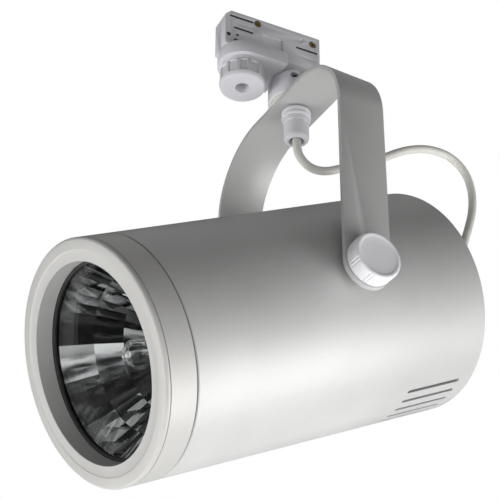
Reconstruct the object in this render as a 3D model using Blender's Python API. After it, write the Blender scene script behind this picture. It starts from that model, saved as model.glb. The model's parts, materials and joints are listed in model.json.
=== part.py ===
"""Museum track spotlight: a cylindrical head in a bent yoke, hung from a three-circuit track adapter.

Metres, +Z up. The origin is on the swivel axis, in the plane of the shoulder that seats against the
underside of the track. The adapter's length lies along Y and the beam leaves towards -Y.
Every size below is in millimetres.
"""

import math

import bmesh
import bpy
from mathutils import Matrix, Vector

MM = 0.001
FIT = 0.3  # gap between two pieces that touch
RUN = 0.4  # gap between a turning piece and its seat

# Rest pose, in degrees
PAN_ANGLE = 4.0
TILT_ANGLE = 26.7

# Track adapter
PLATE_WIDTH = 36.0
PLATE_THICKNESS = 10.4
PLATE_REAR = -15.4
INSERT_WIDTH = 17.0
INSERT_HEIGHT = 31.5
INSERT_FRONT = -60.2
INSERT_REAR = 15.5
INSERT_CHAMFER = 4.5
INSERT_WALL = 1.2  # over the top contact
SELECTOR_Y = -42.4
BOSS_RADIUS = 20.0
BOSS_CHAMFER = 3.4
BOSS_EDGE = 0.8
SHOULDER_TO_BRIDGE = 33.0
SPIGOT_RADIUS = 8.0
SPIGOT_HEIGHT = 20.2  # above the yoke
SPIGOT_GROOVE = 1.7
GRUB_RADIUS = 2.6
GRUB_LENGTH = 9.0
GRUB_HEIGHT = 16.0
GRUB_ANGLE = -30.0
GRUB_SOCKET_RADIUS = 1.2
SHAFT_RADIUS = 3.2
SHAFT_FIT = 0.25
CONTACT_THICKNESS = 0.9
CONTACT_WIDTH = 9.0
CONTACT_TAPER = 2.5
CAM_THICKNESS = 2.4
CAM_HEIGHT = 4.6
CAM_REACH = 13.5
EARTH_HEIGHT = 17.0
EARTH_THICKNESS = 0.8
EARTH_FRONT = -3.2
EARTH_REAR = 12.8
EARTH_DEPTH = 5.2  # into the half away from the cover
COVER_SCREW_RADIUS = 2.7
COVER_SCREW_SHANK = 1.4
COVER_SCREW_DEPTH = 5.5
COVER_SCREW_SINK = 1.9
PANEL_DEPTH = 0.8
PANEL_FRONT = -30.6
PANEL_REAR = -14.6
PANEL_BOTTOM = 7.0
PANEL_TOP = 19.0
PAST = 1.0  # how far a cutter runs past the face it cuts
# Height, reach and rest direction of each live contact: -90 faces the front, 90 the rear.
CONTACTS = {
    "contact_phase_1": (26.7, 16.4, -90.0),
    "contact_phase_2": (21.8, 16.4, 90.0),
    "contact_neutral": (16.6, 13.6, -90.0),
    "contact_phase_3": (12.2, 16.4, 90.0),
}
COVER_SCREWS = {"cover_screw_front": (-34.7, 26.9), "cover_screw_rear": (9.8, 24.6)}

# Selector knob
KNOB_RADIUS = 16.8
KNOB_FACE_RADIUS = 15.9
KNOB_CLEARANCE = 4.0
KNOB_RIBS = 16
KNOB_FLANGE_RISE = 7.4
KNOB_FLANGE_HEIGHT = 0.8
KNOB_COLLAR_HEIGHT = 2.8
KNOB_RIB_HEIGHT = 1.1
KNOB_HOLE_RADIUS = 5.2
KNOB_HOLE_DEPTH = 9.0
KNOB_FLOOR = 3.0

# Swivel and cord grip
NIPPLE_RADIUS = 5.0
NIPPLE_BORE = 3.7
NIPPLE_BELOW = 13.0
NIPPLE_FLANGE_RADIUS = 9.0
WASHER_THICKNESS = 1.2
GRIP_BORE = NIPPLE_RADIUS + 0.5
GRIP_RADIUS = GRIP_BORE + 3.4
GRIP_LENGTH = 18.4
GRIP_ROUND = 3.4
COLLAR_RADIUS = GRIP_RADIUS + 1.5
COLLAR_LENGTH = 7.2

# Head: depths are measured from the front face, towards the rear
HEAD_RADIUS = 75.0
HEAD_LENGTH = 257.0
PIVOT_DEPTH = 161.7
TUBE_WALL = 2.0

# Yoke
YOKE_THICKNESS = 3.0
YOKE_SIDE_GAP = 3.4
YOKE_HALF_WIDTH = HEAD_RADIUS + YOKE_SIDE_GAP + YOKE_THICKNESS
YOKE_DROP = 177.4
YOKE_STRIP = 34.0
YOKE_BEND = 52.0

# Tilt pivots
STUD_RADIUS = 3.0
STUD_CLEARANCE = 0.35
STUD_COVER = 3.5  # knob left in front of the stud's end
TILT_KNOB_RADIUS = 16.5
TILT_KNOB_DEPTH = 11.4
KNOB_GROOVE = 0.7
# One pair of grooves in a knob's rim: (angle from the pair's middle, 1 at the bottom of a groove)
GROOVE_PAIR = ((-6.0, 0), (-4.0, 1), (-1.5, 0), (1.5, 0), (4.0, 1), (6.0, 0), (22.5, 0))
GROOVE_PAIRS = 8
SPACER_RADIUS = 4 * STUD_RADIUS
NUT_RADIUS = STUD_RADIUS + 5.0
NUT_LENGTH = 7.0
NUT_GAP = 0.8

# Front ring, glass and bayonet
SEAM_DEPTH = 22.0
SEAM_GAP = 0.8
SEAM_CHAMFER = 0.4
FACE_CHAMFER = 1.4
FACE_STEP = 0.4
FACE_STEP_RADIUS = HEAD_RADIUS - 7.5
SKIRT_GROOVE_DEPTH = 3.5
SKIRT_GROOVE = 0.7
OPENING_RADIUS = HEAD_RADIUS - 14.2
BORE_DEPTH = 12.0
GLASS_RADIUS = OPENING_RADIUS + 3.7
GLASS_SEAT = GLASS_RADIUS + 0.6
GLASS_THICKNESS = 3.5
GASKET_THICKNESS = 1.6
GASKET_RADIUS = OPENING_RADIUS - 2.0
GASKET_FRONT = BORE_DEPTH + FIT
GLASS_FRONT = GASKET_FRONT + GASKET_THICKNESS + FIT
GLASS_REAR = GLASS_FRONT + GLASS_THICKNESS
CLIP_THICKNESS = 1.3
CLIP_OPEN = 9.0  # half angle of the spring ring's gap
SPIGOT_DEPTH = SEAM_DEPTH + 10.0
BAYONET_DEPTH = SPIGOT_DEPTH - 4.6
BAYONET_TURN = 20.0
BAYONET_PEG_RADIUS = 1.8
BAYONET_COUNT = 3
BAYONET_START = 30.0

# Lamp and reflector
REFLECTOR_FACETS = 48
REFLECTOR_STEPS = 4
REFLECTOR_RADIUS = OPENING_RADIUS - 0.4
REFLECTOR_WALL = 0.9
REFLECTOR_SPIGOT = 6.0
LIGHT_CENTRE_DEPTH = 54.0
LAMP_RADIUS = 10.5
LAMP_WALL = 1.0
LAMP_TIP_DEPTH = 26.5
NECK_RADIUS = LAMP_RADIUS + 3.5
LAMP_BASE_RADIUS = LAMP_RADIUS + 1.5
LAMP_BASE_LENGTH = 24.0
LAMP_PIN_SPACING = 12.0
LAMP_PIN_RADIUS = 1.2
LAMP_PIN_LENGTH = 9.0
LIGHT_CENTRE_LENGTH = 56.0
BURNER_LEG = 1.4
BURNER_RADIUS = 4.2
BURNER_HALF = 4.6
BURNER_SHOULDER = 7.0
BURNER_TIP = 15.0
HOLDER_LENGTH = 20.0
HOLDER_WIDTH = 30.0
HOLDER_HEIGHT = 22.0
CARRIER_FLANGE = 9.0
CARRIER_WINDOWS = 3

# Housing vents
VENT_SLOTS = 7
VENT_PITCH = 7.1
VENT_LENGTH = 46.8
VENT_TO_REAR = 12.0
VENT_WIDTH = 2.7

# Rear cap
CAP_RECESS = 2.0
CAP_THICKNESS = 3.0
CAP_RADIUS = HEAD_RADIUS - TUBE_WALL - 0.4
CAP_FRONT = HEAD_LENGTH - CAP_RECESS - CAP_THICKNESS
CAP_REAR = HEAD_LENGTH - CAP_RECESS
CAP_CHAMFER = 0.6
CAP_SLOTS = 12
CAP_SLOT_WIDTH = 3.2
CAP_SLOT_INNER = 34.0
CAP_SLOT_OUTER = CAP_RADIUS - 16.6
END_RING_WIDTH = 8.6
END_RING_LENGTH = 4.6
CAP_SCREW_CIRCLE = CAP_RADIUS - END_RING_WIDTH / 2
CAP_SCREW_ANGLES = (30.0, 150.0, 270.0)
CAP_SCREW_HEAD = 3.4
CAP_SCREW_SHANK = 1.6

# Control gear
SHIELD_DEPTH = LIGHT_CENTRE_DEPTH + LIGHT_CENTRE_LENGTH + HOLDER_LENGTH
SHIELD_RADIUS = HEAD_RADIUS - TUBE_WALL - 3.0
SHIELD_WINDOWS = 4
SHEET = 1.5
TRAY_DROP = 25.0
TRAY_WIDTH = 1.8 * math.sqrt((CAP_RADIUS - END_RING_WIDTH) ** 2 - TRAY_DROP**2)
TRAY_TAB = 14.0
BALLAST_WIDTH = 62.0
BALLAST_HEIGHT = 30.0
BALLAST_MARGIN = 12.0
TERMINAL_WIDTH = 30.0
TERMINAL_HEIGHT = 13.0
TERMINAL_LENGTH = 28.0
TERMINAL_WAYS = 3

# Flexible lead: (distance behind the pivot, height above it), in the yoke's middle plane
CORD_RADIUS = 3.0
CORD_STEP = 4 * CORD_RADIUS
CORD_FINE = 16
BUSH_BORE = CORD_RADIUS + FIT
BUSH_NECK_RADIUS = CORD_RADIUS + 2.3
BUSH_FLANGE_RADIUS = 9.0
BUSH_FLANGE = 2.4
BUSH_LENGTH = 26.0
CORD_ROUTE = [
    (0.0, 158.0), (0.0, 151.0), (0.5, 143.0), (3.0, 136.0), (8.5, 131.2), (16.0, 129.8), (25.0, 132.2),
    (36.0, 138.4), (49.0, 146.4), (62.0, 154.6), (75.3, 163.6), (86.0, 171.6), (97.4, 178.8),
    (110.6, 184.8), (123.8, 187.4), (135.2, 186.4), (144.8, 180.6), (150.8, 171.0), (153.0, 157.5),
    (151.4, 142.0), (147.0, 126.6), (142.0, 112.2), (138.4, 100.9), (134.9, 90.2), (131.2, 79.1),
    (126.6, 69.7), (119.8, 61.8),
]


def clear_scene():
    for obj in list(bpy.data.objects):
        bpy.data.objects.remove(obj, do_unlink=True)


def make_material(name, colour, roughness, metallic=0.0, transmission=0.0):
    material = bpy.data.materials.new(name)
    material.use_nodes = True
    shader = material.node_tree.nodes["Principled BSDF"]
    shader.inputs["Base Color"].default_value = (*colour, 1.0)
    shader.inputs["Roughness"].default_value = roughness
    shader.inputs["Metallic"].default_value = metallic
    shader.inputs["Transmission Weight"].default_value = transmission
    material.diffuse_color = (*colour, 1.0)
    return material


def make_frame(name, parent=None, location=(0.0, 0.0, 0.0), rotation=(0.0, 0.0, 0.0)):
    """An empty that carries a moving body: it sits on the joint's axis."""
    frame = bpy.data.objects.new(name, None)
    frame.location = Vector(location) * MM
    frame.rotation_euler = [math.radians(angle) for angle in rotation]
    frame.parent = parent
    bpy.context.scene.collection.objects.link(frame)
    return frame


def add_object(name, bm, material=None, parent=None, sharp=35.0):
    """Puts a closed bmesh, drawn in millimetres, into the scene as one named object."""
    bmesh.ops.remove_doubles(bm, verts=bm.verts, dist=1e-5)
    bmesh.ops.recalc_face_normals(bm, faces=bm.faces)
    bmesh.ops.scale(bm, vec=(MM, MM, MM), verts=bm.verts)
    mesh = bpy.data.meshes.new(name)
    bm.to_mesh(mesh)
    bm.free()
    mesh.shade_smooth()
    mesh.set_sharp_from_angle(angle=math.radians(sharp))
    obj = bpy.data.objects.new(name, mesh)
    obj.parent = parent
    if material:
        mesh.materials.append(material)
    bpy.context.scene.collection.objects.link(obj)
    return obj


def combine(target, cutter, operation="DIFFERENCE"):
    """Cuts a helper out of the target, or joins it on, and keeps the helper out of the model."""
    cutter.hide_render = True
    cutter.display_type = "WIRE"
    modifier = target.modifiers.new(cutter.name, "BOOLEAN")
    modifier.operation = operation
    modifier.solver = "EXACT"
    modifier.object = cutter


def circle(radius, count, centre=(0.0, 0.0), start=0.0, sweep=360.0):
    """Points of an arc; a full circle leaves out the repeated last point."""
    steps = count if sweep == 360.0 else count - 1
    angles = [math.radians(start + sweep * i / steps) for i in range(count)]
    return [(centre[0] + radius * math.cos(a), centre[1] + radius * math.sin(a)) for a in angles]


def turned(profile, segments):
    """A closed section of (radius, height) points revolved about Z. Radius 0 lies on the axis."""
    bm = bmesh.new()
    rings = []
    for radius, height in profile:
        if radius == 0.0:
            rings.append([bm.verts.new((0.0, 0.0, height))])
            continue
        rings.append([bm.verts.new((x, y, height)) for x, y in circle(radius, segments)])
    for ring, following in zip(rings, rings[1:] + rings[:1]):
        if len(ring) == 1 and len(following) == 1:
            continue
        for i in range(segments):
            j = (i + 1) % segments
            corners = [ring[i % len(ring)], ring[j % len(ring)]]
            corners += [following[j % len(following)], following[i % len(following)]]
            bm.faces.new(list(dict.fromkeys(corners)))
    return bm


def lofted(rings):
    """Closed rings of equal count joined into one skin, with a face over each end."""
    bm = bmesh.new()
    loops = [[bm.verts.new(point) for point in ring] for ring in rings]
    for loop, following in zip(loops, loops[1:]):
        for i in range(len(loop)):
            j = (i + 1) % len(loop)
            bm.faces.new((loop[i], loop[j], following[j], following[i]))
    bm.faces.new(loops[0])
    bm.faces.new(loops[-1])
    return bm


def extruded(outline, low, high, axis="Z"):
    """A flat outline pulled out along an axis. The outline's two axes follow that one in X, Y, Z order."""
    order = {"Z": (0, 1, 2), "X": (2, 0, 1), "Y": (0, 2, 1)}[axis]
    rings = []
    for level in (low, high):
        points = [(u, v, level) for u, v in outline]
        rings.append([tuple(point[k] for k in order) for point in points])
    return lofted(rings)


def box(x, y, z):
    """A block from its (low, high) pairs."""
    return extruded([(x[0], y[0]), (x[1], y[0]), (x[1], y[1]), (x[0], y[1])], z[0], z[1])


def rod(radius, low, high, segments=24, axis="Z", centre=(0.0, 0.0)):
    """A round bar or bore whose flats, not its corners, face along the axes."""
    return extruded(circle(radius, segments, centre, 180.0 / segments), low, high, axis)


def rounded_box_outline(x, y, radius, steps=4):
    corners = [(x[1], y[1], 0), (x[0], y[1], 90), (x[0], y[0], 180), (x[1], y[0], 270)]
    outline = []
    for px, py, start in corners:
        sx = -1 if px == x[1] else 1
        sy = -1 if py == y[1] else 1
        outline += circle(radius, steps, (px + sx * radius, py + sy * radius), start, 90.0)
    return outline


def swept_pocket(reach, tip_half_width, direction):
    """What a blade on the selector's shaft covers in a quarter turn, with running room round it."""
    centre = (0.0, SELECTOR_Y)
    radius = reach + RUN
    lean = math.degrees(math.asin((tip_half_width + RUN) / radius))
    arc = circle(radius, 9, centre, direction - lean, 90.0 + 2 * lean)
    hub = circle(CONTACT_WIDTH / 2 + RUN, 6, centre, direction + 176.0, 98.0)
    return arc + hub


def at_angle(radius, degrees):
    angle = math.radians(degrees)
    return radius * math.cos(angle), radius * math.sin(angle)


# ---------------------------------------------------------------- track adapter

def adapter_side_outline(low):
    """The insert seen from the side: a block whose upper front corner is cut off."""
    return [
        (INSERT_FRONT, low),
        (INSERT_REAR, low),
        (INSERT_REAR, INSERT_HEIGHT),
        (INSERT_FRONT + INSERT_CHAMFER, INSERT_HEIGHT),
        (INSERT_FRONT, INSERT_HEIGHT - INSERT_CHAMFER),
    ]


def adapter_plate_outline():
    """The flange seen from below: round about the knob, then stepped in to the insert's width."""
    half = PLATE_WIDTH / 2
    neck = INSERT_WIDTH / 2
    nose = circle(half, 17, (0.0, SELECTOR_Y), 180.0, 180.0)
    tail = [(half, PLATE_REAR), (neck, PLATE_REAR), (neck, INSERT_REAR)]
    tail += [(-neck, INSERT_REAR), (-neck, PLATE_REAR), (-half, PLATE_REAR)]
    return nose + tail


def cut_selector_pockets(target, prefix):
    """Slots that the cam and the contacts turn through, and the bore of their shaft."""
    centre = (0.0, SELECTOR_Y)
    shaft = rod(SHAFT_RADIUS + RUN, -PLATE_THICKNESS - PAST, INSERT_HEIGHT - INSERT_WALL, 16, "Z", centre)
    combine(target, add_object(prefix + "_shaft_bore", shaft))
    for name, (height, reach, direction) in CONTACTS.items():
        half = CONTACT_THICKNESS / 2 + RUN
        slot = extruded(swept_pocket(reach, CONTACT_WIDTH / 3, direction), height - half, height + half)
        combine(target, add_object(prefix + "_slot_" + name, slot))
    half = CAM_THICKNESS / 2 + RUN
    slot = rod(CAM_REACH + RUN, CAM_HEIGHT - half, CAM_HEIGHT + half, 20, "Z", centre)
    combine(target, add_object(prefix + "_cam_slot", slot))


def cut_cover_screw_holes(target, prefix, head_room):
    face = INSERT_WIDTH / 2
    for name, (y, z) in COVER_SCREWS.items():
        hole = rod(COVER_SCREW_SHANK + FIT, -COVER_SCREW_DEPTH - 0.5, face + PAST, 12, "X", (y, z))
        combine(target, add_object(prefix + "_" + name + "_hole", hole))
        if head_room:
            recess = rod(COVER_SCREW_RADIUS + FIT, face - COVER_SCREW_SINK, face + PAST, 16, "X", (y, z))
            combine(target, add_object(prefix + "_" + name + "_recess", recess))


def cut_wireway(target, prefix):
    """The way up from the hollow nipple to the contacts, and the slot of the earth contact."""
    way = rod(NIPPLE_BORE, SPIGOT_HEIGHT - SHOULDER_TO_BRIDGE, EARTH_HEIGHT - 4.0, 16)
    combine(target, add_object(prefix + "_wireway", way))
    half = EARTH_THICKNESS / 2 + RUN
    slot = box(
        (-EARTH_DEPTH - 0.8, INSERT_WIDTH),
        (EARTH_FRONT - 0.6, EARTH_REAR + 0.6),
        (EARTH_HEIGHT - half, EARTH_HEIGHT + half),
    )
    combine(target, add_object(prefix + "_earth_slot", slot))


def build_adapter(white, copper, steel, brass):
    bridge = -SHOULDER_TO_BRIDGE
    half_width = INSERT_WIDTH / 2
    boss_bottom = bridge + WASHER_THICKNESS + 2 * FIT
    boss_top = -PLATE_THICKNESS + FIT

    body = add_object("adapter_body", extruded(adapter_plate_outline(), -PLATE_THICKNESS, 0.0), white)
    boss = turned(
        [
            (0.0, boss_bottom),
            (BOSS_RADIUS - BOSS_EDGE, boss_bottom),
            (BOSS_RADIUS, boss_bottom + BOSS_EDGE),
            (BOSS_RADIUS, boss_top - BOSS_CHAMFER),
            (BOSS_RADIUS - BOSS_CHAMFER, boss_top),
            (0.0, boss_top),
        ],
        40,
    )
    combine(body, add_object("adapter_boss", boss), "UNION")
    insert = extruded(adapter_side_outline(-PAST), -half_width, 0.0, "X")
    combine(body, add_object("adapter_insert_half", insert), "UNION")
    socket = rod(SPIGOT_RADIUS + RUN, bridge - PAST, bridge + SPIGOT_HEIGHT + RUN, 20)
    combine(body, add_object("adapter_spigot_socket", socket))
    recess = rod(NIPPLE_FLANGE_RADIUS + RUN, bridge - PAST, boss_bottom + 2 * FIT, 20)
    combine(body, add_object("adapter_flange_recess", recess))
    cut_selector_pockets(body, "adapter_body")
    cut_cover_screw_holes(body, "adapter_body", False)
    cut_wireway(body, "adapter_body")
    turn = Matrix.Rotation(math.radians(GRUB_ANGLE), 4, "Z")
    grub_z = bridge + GRUB_HEIGHT
    hole = rod(GRUB_RADIUS + RUN, SPIGOT_RADIUS - SPIGOT_GROOVE, BOSS_RADIUS + PAST, 16, "X", (0.0, grub_z))
    bmesh.ops.transform(hole, matrix=turn, verts=hole.verts)
    combine(body, add_object("adapter_grub_hole", hole))

    cover_block = extruded(adapter_side_outline(FIT), FIT, half_width, "X")
    cover = add_object("adapter_cover", cover_block, white)
    cut_selector_pockets(cover, "adapter_cover")
    cut_cover_screw_holes(cover, "adapter_cover", True)
    cut_wireway(cover, "adapter_cover")
    panel = box(
        (half_width - PANEL_DEPTH, half_width + PAST), (PANEL_FRONT, PANEL_REAR), (PANEL_BOTTOM, PANEL_TOP)
    )
    combine(cover, add_object("adapter_cover_panel", panel))

    head = half_width - FIT
    seat = half_width - COVER_SCREW_SINK + FIT
    for name, (y, z) in COVER_SCREWS.items():
        screw = turned(
            [
                (0.0, head - 0.9),
                (0.9, head),
                (COVER_SCREW_RADIUS - 0.4, head),
                (COVER_SCREW_RADIUS, head - 0.5),
                (COVER_SCREW_RADIUS, seat),
                (COVER_SCREW_SHANK, seat),
                (COVER_SCREW_SHANK, 1.0 - COVER_SCREW_DEPTH),
                (0.0, -COVER_SCREW_DEPTH),
            ],
            12,
        )
        bmesh.ops.rotate(screw, verts=screw.verts, matrix=Matrix.Rotation(math.pi / 2, 3, "Y"))
        bmesh.ops.translate(screw, verts=screw.verts, vec=(0.0, y, z))
        add_object(name, screw, brass)

    half = EARTH_THICKNESS / 2
    strip = box(
        (-EARTH_DEPTH, half_width - 0.8),
        (EARTH_FRONT, EARTH_REAR),
        (EARTH_HEIGHT - half, EARTH_HEIGHT + half),
    )
    add_object("earth_contact", strip, copper)

    inner = SPIGOT_RADIUS - SPIGOT_GROOVE + FIT
    outer = inner + GRUB_LENGTH
    grub = turned(
        [
            (0.0, inner),
            (GRUB_RADIUS - 1.1, inner),
            (GRUB_RADIUS, inner + 1.3),
            (GRUB_RADIUS, outer - 0.4),
            (GRUB_RADIUS - 0.4, outer),
            (GRUB_SOCKET_RADIUS, outer),
            (GRUB_SOCKET_RADIUS, outer - 2 * GRUB_SOCKET_RADIUS),
            (0.0, outer - 2 * GRUB_SOCKET_RADIUS),
        ],
        12,
    )
    bmesh.ops.rotate(grub, verts=grub.verts, matrix=Matrix.Rotation(math.pi / 2, 3, "Y"))
    bmesh.ops.translate(grub, verts=grub.verts, vec=(0.0, 0.0, grub_z))
    bmesh.ops.transform(grub, matrix=turn, verts=grub.verts)
    add_object("swivel_grub_screw", grub, steel)


def ribbed_ring(inner, outer, height, ribs=KNOB_RIBS):
    """One rib is four points: two on its crest and two in the valley beside it."""
    points = []
    for i in range(ribs * 4):
        radius = outer if i % 4 in (0, 1) else inner
        angle = 360.0 * (i - 0.5) / (ribs * 4)
        points.append((*at_angle(radius, angle), height))
    return points


def build_selector(white, copper, steel):
    """Knob, shaft, locking cam and contacts, drawn about the selector's own axis."""
    frame = make_frame("selector_axis", location=(0.0, SELECTOR_Y, 0.0))
    bottom = -SHOULDER_TO_BRIDGE + KNOB_CLEARANCE
    top = -PLATE_THICKNESS - FIT
    flange = bottom + KNOB_FLANGE_RISE
    crest = KNOB_RADIUS - 0.8
    collar = KNOB_RADIUS - 1.7
    knob = lofted(
        [
            ribbed_ring(KNOB_FACE_RADIUS - 0.7, KNOB_FACE_RADIUS - 0.7, bottom),
            ribbed_ring(KNOB_FACE_RADIUS, KNOB_FACE_RADIUS, bottom + 0.8),
            ribbed_ring(KNOB_RADIUS, KNOB_RADIUS, flange),
            ribbed_ring(crest - KNOB_RIB_HEIGHT, crest, flange + KNOB_FLANGE_HEIGHT),
            ribbed_ring(collar - KNOB_RIB_HEIGHT, collar, top - KNOB_COLLAR_HEIGHT - 0.8),
            ribbed_ring(collar, collar, top - KNOB_COLLAR_HEIGHT),
            ribbed_ring(collar - 0.5, collar - 0.5, top),
        ]
    )
    selector = add_object("selector_knob", knob, white, frame)
    finger_hole = rod(KNOB_HOLE_RADIUS, bottom - PAST, bottom + KNOB_HOLE_DEPTH, 20)
    combine(selector, add_object("selector_knob_hole", finger_hole, None, frame))
    shaft_bottom = bottom + KNOB_HOLE_DEPTH + KNOB_FLOOR
    socket = rod(SHAFT_RADIUS + FIT, shaft_bottom - FIT, top + PAST, 16)
    combine(selector, add_object("selector_knob_socket", socket, None, frame))

    shaft = rod(SHAFT_RADIUS, shaft_bottom, INSERT_HEIGHT - INSERT_WALL - RUN, 16)
    add_object("selector_shaft", shaft, steel, frame)
    hub = SHAFT_RADIUS + SHAFT_FIT
    for name, (height, reach, direction) in CONTACTS.items():
        hub_arc = circle(CONTACT_WIDTH / 2, 9, (0.0, 0.0), 90.0, 180.0)
        tip = [(reach - CONTACT_TAPER, -CONTACT_WIDTH / 4), (reach, -CONTACT_WIDTH / 6)]
        tip += [(reach, CONTACT_WIDTH / 6), (reach - CONTACT_TAPER, CONTACT_WIDTH / 4)]
        blade = extruded(hub_arc + tip, height - CONTACT_THICKNESS / 2, height + CONTACT_THICKNESS / 2)
        bmesh.ops.rotate(blade, verts=blade.verts, matrix=Matrix.Rotation(math.radians(direction), 3, "Z"))
        contact = add_object(name, blade, copper, frame)
        hole = rod(hub, height - CONTACT_THICKNESS, height + CONTACT_THICKNESS, 16)
        combine(contact, add_object(name + "_hub", hole, None, frame))
    half = CONTACT_WIDTH / 2
    ends = math.degrees(math.asin(half / CAM_REACH))
    lobe = circle(CAM_REACH, 7, (0.0, 0.0), 90.0 - ends, 2 * ends)
    lobe += circle(CAM_REACH, 7, (0.0, 0.0), 270.0 - ends, 2 * ends)
    plate = extruded(lobe, CAM_HEIGHT - CAM_THICKNESS / 2, CAM_HEIGHT + CAM_THICKNESS / 2)
    cam = add_object("locking_cam", plate, steel, frame)
    hole = rod(hub, CAM_HEIGHT - CAM_THICKNESS, CAM_HEIGHT + CAM_THICKNESS, 16)
    combine(cam, add_object("locking_cam_hub", hole, None, frame))


# ---------------------------------------------------------------- yoke, swivel and cord grip

def yoke_stations():
    """Points along the strip's middle line, from one rounded end to the other, with the local width."""
    half = YOKE_STRIP / 2
    reach = YOKE_HALF_WIDTH - YOKE_THICKNESS / 2
    bend = YOKE_BEND - YOKE_THICKNESS / 2
    top = -YOKE_THICKNESS / 2
    side = []
    for angle in (8.0, 24.0, 40.0, 56.0, 72.0, 90.0):
        drop = half * math.cos(math.radians(angle))
        width = half * math.sin(math.radians(angle))
        side.append(((reach, -YOKE_DROP - drop), 0.0, width))
    for point in circle(bend, 13, (reach - bend, top - bend), 0.0, 90.0):
        angle = math.degrees(math.atan2(point[1] - top + bend, point[0] - reach + bend))
        side.append((point, angle, half))
    mirrored = [((-x, z), 180.0 - angle, width) for (x, z), angle, width in reversed(side)]
    return side + mirrored


def build_yoke(silver, white, steel, nylon, pan):
    rings = []
    for (x, z), angle, width in yoke_stations():
        dx, dz = at_angle(YOKE_THICKNESS / 2, angle)
        outer = (x + dx, z + dz)
        inner = (x - dx, z - dz)
        rings.append(
            [
                (outer[0], -width, outer[1]),
                (outer[0], width, outer[1]),
                (inner[0], width, inner[1]),
                (inner[0], -width, inner[1]),
            ]
        )
    yoke = add_object("yoke", lofted(rings), silver, pan)
    reach = YOKE_HALF_WIDTH + PAST
    hole = rod(STUD_RADIUS + STUD_CLEARANCE, -reach, reach, 16, "X", (0.0, -YOKE_DROP))
    combine(yoke, add_object("yoke_pivot_holes", hole, None, pan))
    hole = rod(NIPPLE_RADIUS + FIT, -YOKE_THICKNESS - PAST, PAST, 20)
    combine(yoke, add_object("yoke_swivel_hole", hole, None, pan))

    flange_top = FIT + WASHER_THICKNESS
    groove = GRUB_HEIGHT
    slot = GRUB_RADIUS + 0.5
    nipple = turned(
        [
            (NIPPLE_BORE, -NIPPLE_BELOW),
            (NIPPLE_RADIUS - 0.5, -NIPPLE_BELOW),
            (NIPPLE_RADIUS, -NIPPLE_BELOW + 0.5),
            (NIPPLE_RADIUS, FIT),
            (NIPPLE_FLANGE_RADIUS, FIT),
            (NIPPLE_FLANGE_RADIUS, flange_top),
            (SPIGOT_RADIUS, flange_top),
            (SPIGOT_RADIUS, groove - slot),
            (SPIGOT_RADIUS - SPIGOT_GROOVE, groove - slot),
            (SPIGOT_RADIUS - SPIGOT_GROOVE, groove + slot),
            (SPIGOT_RADIUS, groove + slot),
            (SPIGOT_RADIUS, SPIGOT_HEIGHT - 0.6),
            (SPIGOT_RADIUS - 0.6, SPIGOT_HEIGHT),
            (NIPPLE_BORE, SPIGOT_HEIGHT),
        ],
        20,
    )
    add_object("swivel_nipple", nipple, steel, pan)
    washer = turned(
        [
            (NIPPLE_FLANGE_RADIUS + FIT, FIT),
            (BOSS_RADIUS - 1.0, FIT),
            (BOSS_RADIUS - 1.0, FIT + WASHER_THICKNESS),
            (NIPPLE_FLANGE_RADIUS + FIT, FIT + WASHER_THICKNESS),
        ],
        24,
    )
    add_object("swivel_washer", washer, nylon, pan)

    collar_top = -YOKE_THICKNESS - FIT
    collar_bottom = collar_top - COLLAR_LENGTH
    collar = turned(
        [
            (NIPPLE_RADIUS + FIT, collar_top),
            (NIPPLE_RADIUS + FIT, collar_bottom),
            (COLLAR_RADIUS - 0.9, collar_bottom),
            (COLLAR_RADIUS, collar_bottom + 0.9),
            (COLLAR_RADIUS, collar_top - 1.0),
            (COLLAR_RADIUS - 1.0, collar_top),
        ],
        24,
    )
    add_object("cord_grip_collar", collar, white, pan)
    grip_top = collar_bottom - FIT
    grip_bottom = grip_top - GRIP_LENGTH
    rounding = circle(GRIP_ROUND, 5, (GRIP_RADIUS - GRIP_ROUND, grip_bottom + GRIP_ROUND), 0.0, -90.0)
    grip = turned([(GRIP_BORE, grip_top), (GRIP_RADIUS, grip_top), *rounding], 24)
    add_object("cord_grip", grip, white, pan)


def build_cord(ivory, pan):
    """A smooth curve through the route's own points, read off every two diameters."""
    route = [Vector((0.0, y, z - YOKE_DROP)) for y, z in [*CORD_ROUTE, *cord_exit()]]
    fine = []
    for i in range(len(route) - 1):
        before = route[max(i - 1, 0)]
        after = route[min(i + 2, len(route) - 1)]
        for step in range(CORD_FINE):
            fine.append(spline_point(before, route[i], route[i + 1], after, step / CORD_FINE))
    fine.append(route[-1])
    points = [fine[0]]
    for point in fine:
        if (point - points[-1]).length >= CORD_STEP:
            points.append(point)
    if (points[-1] - fine[-1]).length < CORD_STEP / 2:
        points.pop()
    points.append(fine[-1])
    curve = bpy.data.curves.new("flex", "CURVE")
    curve.dimensions = "3D"
    curve.bevel_depth = CORD_RADIUS * MM
    curve.bevel_resolution = 2
    curve.use_fill_caps = True
    curve.resolution_u = 1
    spline = curve.splines.new("POLY")
    spline.points.add(len(points) - 1)
    for target, point in zip(spline.points, points):
        target.co = (*(point * MM), 1.0)
    curve.materials.append(ivory)
    flex = bpy.data.objects.new("flex", curve)
    flex.parent = pan
    bpy.context.scene.collection.objects.link(flex)


def spline_point(p0, p1, p2, p3, t):
    """Catmull-Rom: passes through p1 and p2 with the slope of their neighbours."""
    return 0.5 * (
        2 * p1
        + (p2 - p0) * t
        + (2 * p0 - 5 * p1 + 4 * p2 - p3) * t**2
        + (3 * p1 - p0 - 3 * p2 + p3) * t**3
    )


def cord_exit():
    """The last points run down the head's axis, through the rear bush, at the rest tilt."""
    tilt = math.radians(TILT_ANGLE)
    reach = HEAD_LENGTH - PIVOT_DEPTH
    depths = (reach + 27.0, reach + 14.0, reach + 2.0, reach - 10.0)
    return [(depth * math.cos(tilt), depth * math.sin(tilt)) for depth in depths]


# ---------------------------------------------------------------- tilt pivots

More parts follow.
